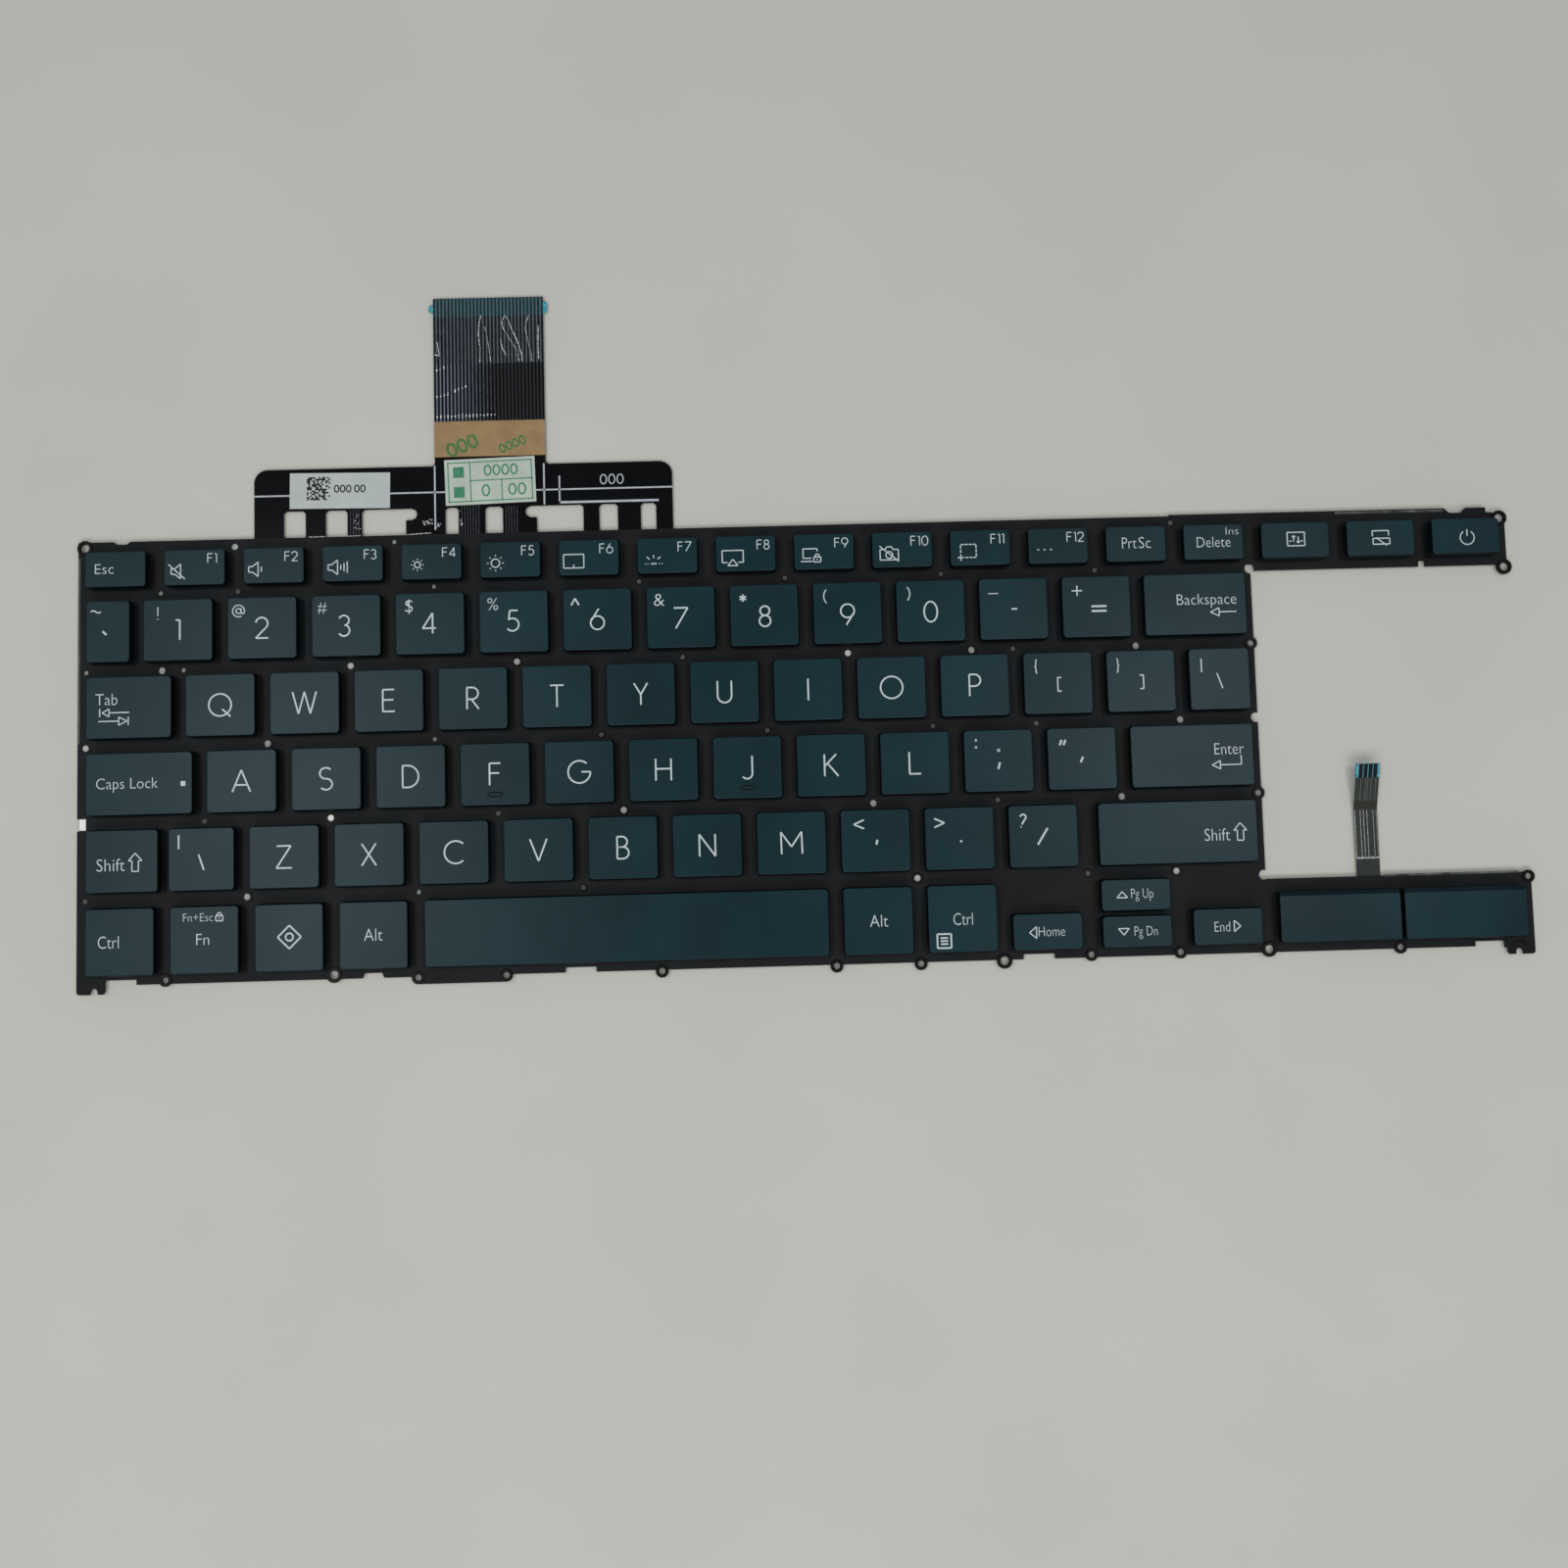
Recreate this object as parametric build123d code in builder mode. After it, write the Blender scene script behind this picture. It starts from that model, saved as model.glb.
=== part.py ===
"""Laptop replacement keyboard: a stamped plate, caps on scissor links and domes, film circuits and ribbons.

Millimetres. X runs along the key rows, Y points from the space bar to the function row, Z points up.
The layout is measured from the middle of the Q column and of the digit row, and the layout plane
puts the middle of the whole keyboard over the origin, with its rear film on Z = 0.
"""

import os
from math import asin, cos, sin

from build123d import *

# Key grid
KEY_PITCH = 18.2
ROW_PITCH = 16.64
FUNCTION_PITCH = 17.155
CAP_WIDTH = 15.3
CAP_DEPTH = 13.85
KEYS_LEFT = -29.05
KEYS_RIGHT = 224.2
FIRST_FUNCTION_X = -22.65
FUNCTION_Y = 13.7
FUNCTION_WIDTH = 13.5
FUNCTION_DEPTH = 8.2
BOTTOM_ROW_Y = -67.22
BOTTOM_DEPTH = 14.75
BOTTOM_ROW_LOW = BOTTOM_ROW_Y - BOTTOM_DEPTH / 2
FIRST_BOTTOM_X = -21.52
BOTTOM_PITCH = 18.06
BOTTOM_WIDTH = 14.95
SPACE_LEFT = 43.4
SPACE_RIGHT = 130.6
HALF_ARROW_DEPTH = 7.1
HALF_ARROW_RAISE = 0.25
ARROW_DEPTH = 8.1
BUTTON_DEPTH = 11.35

# Heights of the stack, from the rear film up to the key tops
REAR_FILM_THICKNESS = 0.2
GUIDE_THICKNESS = 0.4
MEMBRANE_THICKNESS = 0.25
PLATE_THICKNESS = 0.4
GUIDE_Z = REAR_FILM_THICKNESS
MEMBRANE_Z = GUIDE_Z + GUIDE_THICKNESS
PLATE_Z = MEMBRANE_Z + MEMBRANE_THICKNESS
PLATE_TOP = PLATE_Z + PLATE_THICKNESS
KEY_TOP = PLATE_TOP + 3.45
CAP_HEIGHT = 1.7
CAP_Z = KEY_TOP - CAP_HEIGHT

# Key caps
CAP_CORNER = 0.7
CAP_DRAFT = 8.0
CAP_WALL = 1.0
POCKET_DEPTH = 0.8
HOMING_BAR = (2.9, 0.6, 0.2)
HOMING_BAR_FROM_EDGE = 2.55

# Domes and scissor links
DOME_RADIUS = 2.6
DOME_SIDES = 6
DOME_DRAFT = 18.0
DOME_HEIGHT = 2.4
LINK_LENGTH = 9.0
LINK_RISE = 1.7
LINK_BAR = 0.8
LINK_THICKNESS = 0.5
OUTER_LINK_WIDTH = 10.6
INNER_LINK_WIDTH = 8.2
LINK_MIDDLE_Z = PLATE_TOP + 1.2
SPACE_LINK_OFFSET = 21.0
BAR_WIRE = 0.8
BAR_ARM = 4.0
BAR_FROM_EDGE = 1.65
BAR_Z = PLATE_TOP + 0.1

# Base plate
PLATE_LEFT = -32.1
PLATE_RIGHT = 226.4
ARM_RIGHT = 284.8
PLATE_UPPER = 20.5
PLATE_LOWER = -76.5
ARM_UPPER = 20.8
TOP_ARM_LOWER = 7.8
TOP_ARM_RIGHT = 283.8
BUTTON_ARM_UPPER = -60.5
LEG_LOWER = -78.4
EDGE_NOTCH_Y = -75.4
DEEP_STRIP = (41.4, 60.4, -78.1)
EAR_RADIUS = 1.4
EAR_SIDES = 12
EAR_HOLE = 0.75
BIG_EAR_RADIUS = 1.7
BIG_EAR_SIDES = 16
BIG_EAR_HOLE = 0.95
FIELD_HOLE = 0.8
HOLE_SIDES = 8
BAY_RELIEF = 1.1
BAY_RELIEFS = [(226.2, 8.3), (226.0, -24.9), (226.0, -59.6)]
LEG_CORNER = 0.45
LEG_SLOT = (1.5, 1.5)
LEG_SLOT_END = 0.6
LEG_SLOTS = [-28.3, 281.3]
EARS = [
    (-13.0, -75.7), (41.4, -76.7), (60.4, -76.7), (94.1, -76.8), (132.0, -76.8), (150.3, -76.8),
    (187.5, -75.9), (207.0, -75.9), (255.2, -76.2), (225.7, -8.4), (225.7, -41.6), (284.2, -61.5),
]
BIG_EARS = [(-30.6, 19.2), (23.3, -75.6), (168.5, -76.7), (226.4, -75.8), (282.6, 18.3), (283.1, 7.3)]
# Field holes sit where key corners meet: columns and rows in key pitches from the layout origin
FIELD_HOLE_GRID = [
    (0.5, 1.5), (3.5, 0.5), (9.0, 0.5), (11.0, 0.5), (4.75, 2.5), (10.75, 2.5), (0.25, 3.5), (8.25, 3.5),
    (11.37, 3.5), (-0.76, 0.5), (1.5, 0.5), (7.5, 0.5), (11.5, 1.5), (1.25, 2.5), (7.75, 2.5),
]
EDGE_HOLES = [(2.1, 18.8), (-30.4, -25.0)]

# Film circuit with its apron and tail
FILM_INSET = 2.0
FILM_LEFT = PLATE_LEFT + 0.3
FILM_UPPER = PLATE_UPPER - 0.5
EAR_CORNER_CUT = 4.5
FILM_HOLE = 1.2
FILM_HOLE_SIDES = 6
ARM_FILM = (252.1, 14.3, 57.4, 10.0)
APRON_LEFT = 6.3
APRON_RIGHT = 98.7
APRON_UPPER = 35.9
APRON_CORNER = 2.9
TAIL_LEFT = 46.2
TAIL_RIGHT = 70.7
TAIL_END = 74.0
TAIL_FILLET = 0.8
WINDOW_LOWER = 19.4
WINDOW_UPPER = 26.5
WINDOWS = [
    (12.8, 17.6), (22.0, 26.8), (30.0, 39.7), (48.4, 51.3),
    (57.2, 61.1), (68.6, 78.9), (82.4, 86.5), (91.6, 95.0),
]
WINDOW_CORNER = 0.6
# Round-ended side pockets of two windows: middle of the round end, and where the pocket runs to
WINDOW_POCKETS = [(40.9, 25.2, 38.5), (67.3, 25.2, 70.0)]
POCKET_RADIUS = 1.3
STIFFENER_LENGTH = 4.0
STIFFENER_TAB = (0.9, 0.8)
STIFFENER_TAB_Y = 71.6
STIFFENER_THICKNESS = 0.2
LINER_LOWER = 37.9
LINER_UPPER = 45.9
LABEL_THICKNESS = 0.1
CODE_LABEL = (25.2, 30.9, 22.1, 8.0, -0.8)
DATE_LABEL = (58.4, 32.3, 20.0, 10.3, 1.6)

# Pointer buttons and their ribbon
BUTTONS = {"button_left": (227.95, 254.65), "button_right": (255.1, 282.15)}
# Sloped strip along the rear of each button: where it starts from the rear edge, its run and its drop
BUTTON_SLOPE_FROM_EDGE = 1.1
BUTTON_SLOPE = (0.87, 0.45)
RIBBON_LEFT = 246.7
RIBBON_RIGHT = 251.8
RIBBON_LINE = [(-66.0, 0.0), (-58.0, 0.0), (-45.5, 0.1), (-36.0, 3.3)]
RIBBON_STIFFENER_LENGTH = 3.1
RIBBON_STIFFENER_LAP = 0.15
SWITCH_SHEET_INSET = 3.5

# The layout plane, shifted so that the middle of the whole outline is over the origin
OUTLINE_LEFT = BIG_EARS[0][0] - BIG_EAR_RADIUS
OUTLINE_RIGHT = EARS[-1][0] + EAR_RADIUS
OUTLINE_MIDDLE_X = (OUTLINE_LEFT + OUTLINE_RIGHT) / 2
OUTLINE_MIDDLE_Y = (LEG_LOWER + TAIL_END) / 2
LAYOUT = Plane(origin=(-OUTLINE_MIDDLE_X, -OUTLINE_MIDDLE_Y, 0))


def level(height):
    """The layout plane at a height above the rear film's underside."""
    return LAYOUT.offset(height)


def middle(cap):
    """Middle of a cap given as left, right, low and high edges."""
    left, right, low, high = cap
    return ((left + right) / 2, (low + high) / 2)


def size(cap):
    """Width and depth of a cap given as left, right, low and high edges."""
    left, right, low, high = cap
    return (right - left, high - low)


def around(x, y, width, depth):
    """Edges of a cap from its middle, width and depth."""
    return (x - width / 2, x + width / 2, y - depth / 2, y + depth / 2)


def key_layout():
    """Edges of every key cap, by name."""
    caps = {}
    runs = [
        (0, -0.5, "1 2 3 4 5 6 7 8 9 0 minus equals"),
        (1, 0.0, "q w e r t y u i o p bracket_open bracket_close"),
        (2, 0.25, "a s d f g h j k l semicolon quote"),
        (3, 0.75, "z x c v b n m comma period slash"),
    ]
    for row, first, names in runs:
        for column, name in enumerate(names.split()):
            caps[name] = around((first + column) * KEY_PITCH, -row * ROW_PITCH, CAP_WIDTH, CAP_DEPTH)
    wide = [
        (0, "grave", KEYS_LEFT, -19.35),
        (0, "backspace", 201.5, KEYS_RIGHT),
        (1, "tab", KEYS_LEFT, -10.35),
        (1, "backslash", 210.65, KEYS_RIGHT),
        (2, "caps_lock", KEYS_LEFT, -5.85),
        (2, "enter", 197.1, KEYS_RIGHT),
        (3, "shift_left", KEYS_LEFT, -13.2),
        (3, "slash_left", -11.3, 3.1),
        (3, "shift_right", 189.35, KEYS_RIGHT),
    ]
    for row, name, left, right in wide:
        caps[name] = (left, right, -row * ROW_PITCH - CAP_DEPTH / 2, -row * ROW_PITCH + CAP_DEPTH / 2)
    for column, name in enumerate("ctrl_left fn system alt_left".split()):
        x = FIRST_BOTTOM_X + column * BOTTOM_PITCH
        caps[name] = around(x, BOTTOM_ROW_Y, BOTTOM_WIDTH, BOTTOM_DEPTH)
    caps["space"] = (SPACE_LEFT, SPACE_RIGHT, BOTTOM_ROW_LOW, BOTTOM_ROW_LOW + BOTTOM_DEPTH)
    for name, x in {"alt_right": 141.1, "ctrl_right": 159.3}.items():
        caps[name] = around(x, BOTTOM_ROW_Y, CAP_WIDTH, BOTTOM_DEPTH)
    arrows = {
        "arrow_left": (177.6, 0.0, ARROW_DEPTH),
        "arrow_up": (197.0, BOTTOM_DEPTH - HALF_ARROW_DEPTH + HALF_ARROW_RAISE, HALF_ARROW_DEPTH),
        "arrow_down": (197.0, 0.0, HALF_ARROW_DEPTH),
        "arrow_right": (216.7, 0.0, ARROW_DEPTH),
    }
    for name, (x, lift, depth) in arrows.items():
        caps[name] = around(x, BOTTOM_ROW_LOW + lift + depth / 2, CAP_WIDTH, depth)
    function_names = "esc f1 f2 f3 f4 f5 f6 f7 f8 f9 f10 f11 f12 print_screen delete"
    for column, name in enumerate(function_names.split()):
        x = FIRST_FUNCTION_X + column * FUNCTION_PITCH
        caps[name] = around(x, FUNCTION_Y, FUNCTION_WIDTH, FUNCTION_DEPTH)
    for name, x in {"screen_swap": 235.6, "screen_off": 254.5, "power": 273.4}.items():
        caps[name] = around(x, FUNCTION_Y, CAP_WIDTH, FUNCTION_DEPTH)
    return caps


CAPS = key_layout()
LETTERS_AND_DIGITS = list("qwertyuiopasdfghjklzxcvbnm1234567890")
WIDE_KEYS = ["backspace", "tab", "caps_lock", "enter", "shift_left", "shift_right", "space"]
MOVING_KEYS = LETTERS_AND_DIGITS + WIDE_KEYS
BARRED_KEYS = ["backspace", "tab", "caps_lock", "enter", "shift_right", "space"]
FIXED_GROUPS = {
    "function_row_keys": (
        "esc f1 f2 f3 f4 f5 f6 f7 f8 f9 f10 f11 f12 "
        "print_screen delete screen_swap screen_off power"
    ),
    "symbol_keys": (
        "grave minus equals bracket_open bracket_close backslash "
        "semicolon quote slash_left comma period slash"
    ),
    "command_keys": (
        "ctrl_left fn system alt_left alt_right ctrl_right "
        "arrow_left arrow_up arrow_down arrow_right"
    ),
}
FIELD_HOLES = [(column * KEY_PITCH, -row * ROW_PITCH) for column, row in FIELD_HOLE_GRID]


def save(piece, name):
    """Label a finished piece and write it as the node of that name."""
    piece.part.label = name
    export_step(piece.part, f"parts/{name}.step")


def button_slope(cap):
    """The plane of the sloped strip along a button's rear edge."""
    run, drop = BUTTON_SLOPE
    return Plane(
        origin=LAYOUT.from_local_coords((middle(cap)[0], cap[3] - BUTTON_SLOPE_FROM_EDGE, KEY_TOP)),
        x_dir=(1, 0, 0),
        z_dir=(0, drop, run),
    )


def hollow_cap(cap, homing_bar=False, sloped=False):
    """A moving cap: drafted, with cut corners and a pocket below, and on some a bar or a sloped rear."""
    width, depth = size(cap)
    with BuildPart() as key_cap:
        with BuildSketch(level(CAP_Z)) as plan:
            with Locations(middle(cap)):
                Rectangle(width, depth)
            chamfer(plan.vertices(), CAP_CORNER)
        extrude(amount=CAP_HEIGHT, taper=CAP_DRAFT)
        with BuildSketch(level(CAP_Z)):
            with Locations(middle(cap)):
                Rectangle(width - 2 * CAP_WALL, depth - 2 * CAP_WALL)
        extrude(amount=POCKET_DEPTH, mode=Mode.SUBTRACT)
        if homing_bar:
            bar_length, bar_width, bar_height = HOMING_BAR
            with BuildSketch(level(KEY_TOP)):
                with Locations((middle(cap)[0], cap[2] + HOMING_BAR_FROM_EDGE)):
                    Rectangle(bar_length, bar_width)
            extrude(amount=bar_height)
        if sloped:
            split(bisect_by=button_slope(cap), keep=Keep.BOTTOM)
    return key_cap


def fixed_caps(names):
    """Caps that stand on their domes as one solid each."""
    with BuildPart() as caps:
        with BuildSketch(level(CAP_Z)) as plan:
            for name in names:
                with Locations(middle(CAPS[name])):
                    Rectangle(*size(CAPS[name]))
            chamfer(plan.vertices(), CAP_CORNER)
        extrude(amount=CAP_HEIGHT, taper=CAP_DRAFT)
        with BuildSketch(level(PLATE_TOP)):
            with Locations(*[middle(CAPS[name]) for name in names]):
                RegularPolygon(DOME_RADIUS, DOME_SIDES)
        extrude(amount=CAP_Z - PLATE_TOP, taper=DOME_DRAFT)
    return caps


def link_planes(middles, lean):
    """Planes through the links' crossing points, leaning towards the function row or the space bar."""
    return [
        Plane(
            origin=LAYOUT.from_local_coords((x, y, LINK_MIDDLE_Z)),
            x_dir=(1, 0, 0),
            z_dir=(0, -sin(lean), cos(lean)),
        )
        for x, y in middles
    ]


def link_outline(width):
    """A scissor link in its own plane: two legs joined by a bar at the low end."""
    Rectangle(width, LINK_LENGTH)
    with Locations((0, LINK_BAR / 2)):
        Rectangle(width - 2 * LINK_BAR, LINK_LENGTH - LINK_BAR, mode=Mode.SUBTRACT)


def plate_edge():
    """Corners of the stamped plate's edge, without its ears."""
    strip_left, strip_right, strip_lower = DEEP_STRIP
    top_edge = [
        (PLATE_LEFT, PLATE_UPPER),
        # shallow dip beside the first ear
        (-24.4, PLATE_UPPER), (-23.6, 19.8), (-21.6, 19.8), (-20.8, PLATE_UPPER),
        # step up to the arm, then its dip and tab
        (208.8, PLATE_UPPER), (208.8, ARM_UPPER), (270.4, ARM_UPPER), (271.6, 19.7), (274.2, 19.7),
        (275.2, ARM_UPPER), (279.7, ARM_UPPER), (279.7, 19.7), (TOP_ARM_RIGHT, 19.3),
    ]
    bay_edge = [
        (TOP_ARM_RIGHT, TOP_ARM_LOWER),
        # notch under the arm
        (265.4, TOP_ARM_LOWER), (265.4, 9.1), (264.0, 9.1), (264.0, TOP_ARM_LOWER),
        (PLATE_RIGHT, TOP_ARM_LOWER), (PLATE_RIGHT, BUTTON_ARM_UPPER), (ARM_RIGHT, BUTTON_ARM_UPPER),
    ]
    bottom_edge = [
        # right leg
        (ARM_RIGHT, LEG_LOWER + LEG_CORNER), (ARM_RIGHT - LEG_CORNER, LEG_LOWER),
        (278.75 + LEG_CORNER, LEG_LOWER), (278.75, LEG_LOWER + LEG_CORNER), (278.75, -76.9), (278.1, -76.9),
        (278.1, EDGE_NOTCH_Y), (271.7, EDGE_NOTCH_Y), (271.7, PLATE_LOWER),
        # two notches, the deeper strip under the space bar's end, and a third notch
        (179.5, PLATE_LOWER), (179.5, EDGE_NOTCH_Y), (172.7, EDGE_NOTCH_Y), (172.7, PLATE_LOWER),
        (79.9, PLATE_LOWER), (79.9, EDGE_NOTCH_Y), (73.2, EDGE_NOTCH_Y), (73.2, PLATE_LOWER),
        (strip_right, PLATE_LOWER), (strip_right, strip_lower),
        (strip_left, strip_lower), (strip_left, PLATE_LOWER),
        (34.1, PLATE_LOWER), (33.6, EDGE_NOTCH_Y), (29.9, EDGE_NOTCH_Y), (29.4, PLATE_LOWER),
        # left leg
        (-19.2, PLATE_LOWER), (-19.2, EDGE_NOTCH_Y), (-25.95, EDGE_NOTCH_Y),
        (-25.95, LEG_LOWER + LEG_CORNER), (-25.95 - LEG_CORNER, LEG_LOWER),
    ]
    left_edge = [
        (PLATE_LEFT + LEG_CORNER, LEG_LOWER), (PLATE_LEFT, LEG_LOWER + LEG_CORNER),
        # notch half way up
        (PLATE_LEFT, -43.1), (-30.2, -43.1), (-30.2, -40.4), (PLATE_LEFT, -40.4),
    ]
    return top_edge + bay_edge + bottom_edge + left_edge


def label_plan(label):
    """A label's plan, from its middle, size and turn."""
    x, y, width, depth, turn = label
    with Locations((x, y)):
        Rectangle(width, depth, rotation=turn)


def main_film_edge():
    """Corners of a sheet under the main key field, one of them cut clear of the first ear."""
    right = PLATE_RIGHT - FILM_INSET
    lower = PLATE_LOWER + FILM_INSET
    return [
        (FILM_LEFT, FILM_UPPER - EAR_CORNER_CUT), (FILM_LEFT + EAR_CORNER_CUT, FILM_UPPER),
        (right, FILM_UPPER), (right, lower), (FILM_LEFT, lower),
    ]


def ribbon_side(offset_x):
    """Upright plane across the ribbon, with Y along it and the membrane's underside as its zero height."""
    return Plane(
        origin=LAYOUT.from_local_coords((offset_x, 0, MEMBRANE_Z)),
        x_dir=(0, 1, 0),
        z_dir=(1, 0, 0),
    )


os.makedirs("parts", exist_ok=True)

# Base plate: one stamped sheet with ears, field holes, notches and slotted legs
with BuildPart() as base_plate:
    with BuildSketch(level(PLATE_Z)):
        with BuildLine():
            Polyline(*plate_edge(), close=True)
        make_face()
        with Locations(*EARS):
            RegularPolygon(EAR_RADIUS, EAR_SIDES)
        with Locations(*BIG_EARS):
            RegularPolygon(BIG_EAR_RADIUS, BIG_EAR_SIDES)
        with Locations(*EARS):
            RegularPolygon(EAR_HOLE, HOLE_SIDES, mode=Mode.SUBTRACT)
        with Locations(*BIG_EARS):
            Circle(BIG_EAR_HOLE, mode=Mode.SUBTRACT)
        with Locations(*FIELD_HOLES, *EDGE_HOLES):
            RegularPolygon(FIELD_HOLE, HOLE_SIDES, mode=Mode.SUBTRACT)
        with Locations(*BAY_RELIEFS):
            RegularPolygon(BAY_RELIEF, EAR_SIDES, mode=Mode.SUBTRACT)
        for slot_x in LEG_SLOTS:
            with Locations((slot_x, LEG_LOWER)):
                Rectangle(*LEG_SLOT, mode=Mode.SUBTRACT)
            with Locations((slot_x, LEG_LOWER + LEG_SLOT_END)):
                RegularPolygon(LEG_SLOT[0] / 2, HOLE_SIDES, mode=Mode.SUBTRACT)
    extrude(amount=PLATE_THICKNESS)
save(base_plate, "base_plate")

# Film circuit: one sheet under the plate, with a windowed apron and the long tail
with BuildPart() as membrane_sheet:
    with BuildSketch(level(MEMBRANE_Z)) as film:
        with BuildLine():
            Polyline(*main_film_edge(), close=True)
        make_face()
        arm_x, arm_y, arm_width, arm_depth = ARM_FILM
        with Locations((arm_x, arm_y)):
            Rectangle(arm_width, arm_depth)
        with BuildLine():
            Polyline(
                (APRON_LEFT, WINDOW_LOWER), (APRON_LEFT, APRON_UPPER),
                (TAIL_LEFT, APRON_UPPER), (TAIL_LEFT, TAIL_END),
                (TAIL_RIGHT, TAIL_END), (TAIL_RIGHT, APRON_UPPER),
                (APRON_RIGHT, APRON_UPPER), (APRON_RIGHT, WINDOW_LOWER),
                close=True,
            )
        make_face()
        shoulders = film.vertices().group_by(Axis.Y)[-2].sort_by(Axis.X)
        fillet([shoulders[0], shoulders[-1]], APRON_CORNER)
        roots = film.vertices().filter_by(lambda v: abs(v.Y - APRON_UPPER) < 0.01).sort_by(Axis.X)[1:-1]
        fillet(roots, TAIL_FILLET)
        for left, right in WINDOWS:
            with BuildLine():
                Polyline(
                    (left, WINDOW_LOWER), (left, WINDOW_UPPER - WINDOW_CORNER),
                    (left + WINDOW_CORNER, WINDOW_UPPER), (right - WINDOW_CORNER, WINDOW_UPPER),
                    (right, WINDOW_UPPER - WINDOW_CORNER), (right, WINDOW_LOWER),
                    close=True,
                )
            make_face(mode=Mode.SUBTRACT)
        for end_x, pocket_y, root_x in WINDOW_POCKETS:
            with Locations(((end_x + root_x) / 2, pocket_y)):
                Rectangle(abs(end_x - root_x), 2 * POCKET_RADIUS, mode=Mode.SUBTRACT)
            with Locations((end_x, pocket_y)):
                RegularPolygon(POCKET_RADIUS, HOLE_SIDES, mode=Mode.SUBTRACT)
        with Locations(*FIELD_HOLES):
            RegularPolygon(FILM_HOLE, FILM_HOLE_SIDES, mode=Mode.SUBTRACT)
    extrude(amount=MEMBRANE_THICKNESS)
save(membrane_sheet, "membrane_sheet")

# Light guide and rear film under the main field
with BuildPart() as light_guide:
    with BuildSketch(level(GUIDE_Z)):
        with BuildLine():
            Polyline(*main_film_edge(), close=True)
        make_face()
    extrude(amount=GUIDE_THICKNESS)
save(light_guide, "light_guide")

with BuildPart() as rear_film:
    with BuildSketch(level(0)):
        with BuildLine():
            Polyline(*main_film_edge(), close=True)
        make_face()
    extrude(amount=REAR_FILM_THICKNESS)
save(rear_film, "rear_film")

# Moving caps and buttons, one piece each
for name in MOVING_KEYS:
    save(hollow_cap(CAPS[name], homing_bar=name in "fj"), f"key_{name}")
for name, (left, right) in BUTTONS.items():
    save(hollow_cap((left, right, BOTTOM_ROW_LOW, BOTTOM_ROW_LOW + BUTTON_DEPTH), sloped=True), name)

# Caps that stand on their domes as one solid each
for group, names in FIXED_GROUPS.items():
    save(fixed_caps(names.split()), group)

# Domes and scissor links under the moving keys
space_x, space_y = middle(CAPS["space"])
space_links = [(space_x - SPACE_LINK_OFFSET, space_y), (space_x + SPACE_LINK_OFFSET, space_y)]
key_middles = [middle(CAPS[name]) for name in MOVING_KEYS]
button_y = BOTTOM_ROW_LOW + BUTTON_DEPTH / 2
button_middles = [((left + right) / 2, button_y) for left, right in BUTTONS.values()]
with BuildPart() as rubber_domes:
    with BuildSketch(level(PLATE_TOP)):
        with Locations(*key_middles, *button_middles):
            RegularPolygon(DOME_RADIUS, DOME_SIDES)
    extrude(amount=DOME_HEIGHT, taper=DOME_DRAFT)
save(rubber_domes, "rubber_domes")

link_lean = asin(LINK_RISE / LINK_LENGTH)
link_middles = [middle(CAPS[name]) for name in MOVING_KEYS if name != "space"] + space_links
with BuildPart() as scissor_links:
    with BuildSketch(*link_planes(link_middles, link_lean)):
        link_outline(OUTER_LINK_WIDTH)
    extrude(amount=LINK_THICKNESS / 2, both=True)
    with BuildSketch(*link_planes(link_middles, -link_lean)):
        with Locations(Rotation(0, 0, 180)):
            link_outline(INNER_LINK_WIDTH)
    extrude(amount=LINK_THICKNESS / 2, both=True)
save(scissor_links, "scissor_links")

# Wire bars that keep the wide keys level
with BuildPart() as stabiliser_bars:
    with BuildSketch(level(BAR_Z)):
        for name in BARRED_KEYS:
            left, right, low, high = CAPS[name]
            bar_length = right - left - 2 * BAR_FROM_EDGE
            with Locations(((left + right) / 2, low + BAR_FROM_EDGE + (BAR_ARM - BAR_WIRE) / 2)):
                Rectangle(bar_length, BAR_ARM)
            with Locations(((left + right) / 2, low + BAR_FROM_EDGE + BAR_ARM / 2)):
                Rectangle(bar_length - 2 * BAR_WIRE, BAR_ARM, mode=Mode.SUBTRACT)
    extrude(amount=BAR_WIRE)
save(stabiliser_bars, "stabiliser_bars")

# Pointer-button circuit: a switch sheet under the arm and a ribbon that rises to its free end
with BuildPart() as button_ribbon:
    with BuildSketch(level(MEMBRANE_Z)):
        with Locations(((PLATE_RIGHT + ARM_RIGHT) / 2, (BUTTON_ARM_UPPER + EDGE_NOTCH_Y) / 2)):
            Rectangle(ARM_RIGHT - PLATE_RIGHT - 2 * SWITCH_SHEET_INSET, BUTTON_DEPTH)
    extrude(amount=MEMBRANE_THICKNESS)
    with BuildSketch(ribbon_side(RIBBON_LEFT)):
        with BuildLine():
            upper_side = [(y, z + MEMBRANE_THICKNESS) for y, z in reversed(RIBBON_LINE)]
            Polyline(*RIBBON_LINE, *upper_side, close=True)
        make_face()
    extrude(amount=RIBBON_RIGHT - RIBBON_LEFT)
save(button_ribbon, "button_ribbon")

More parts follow.
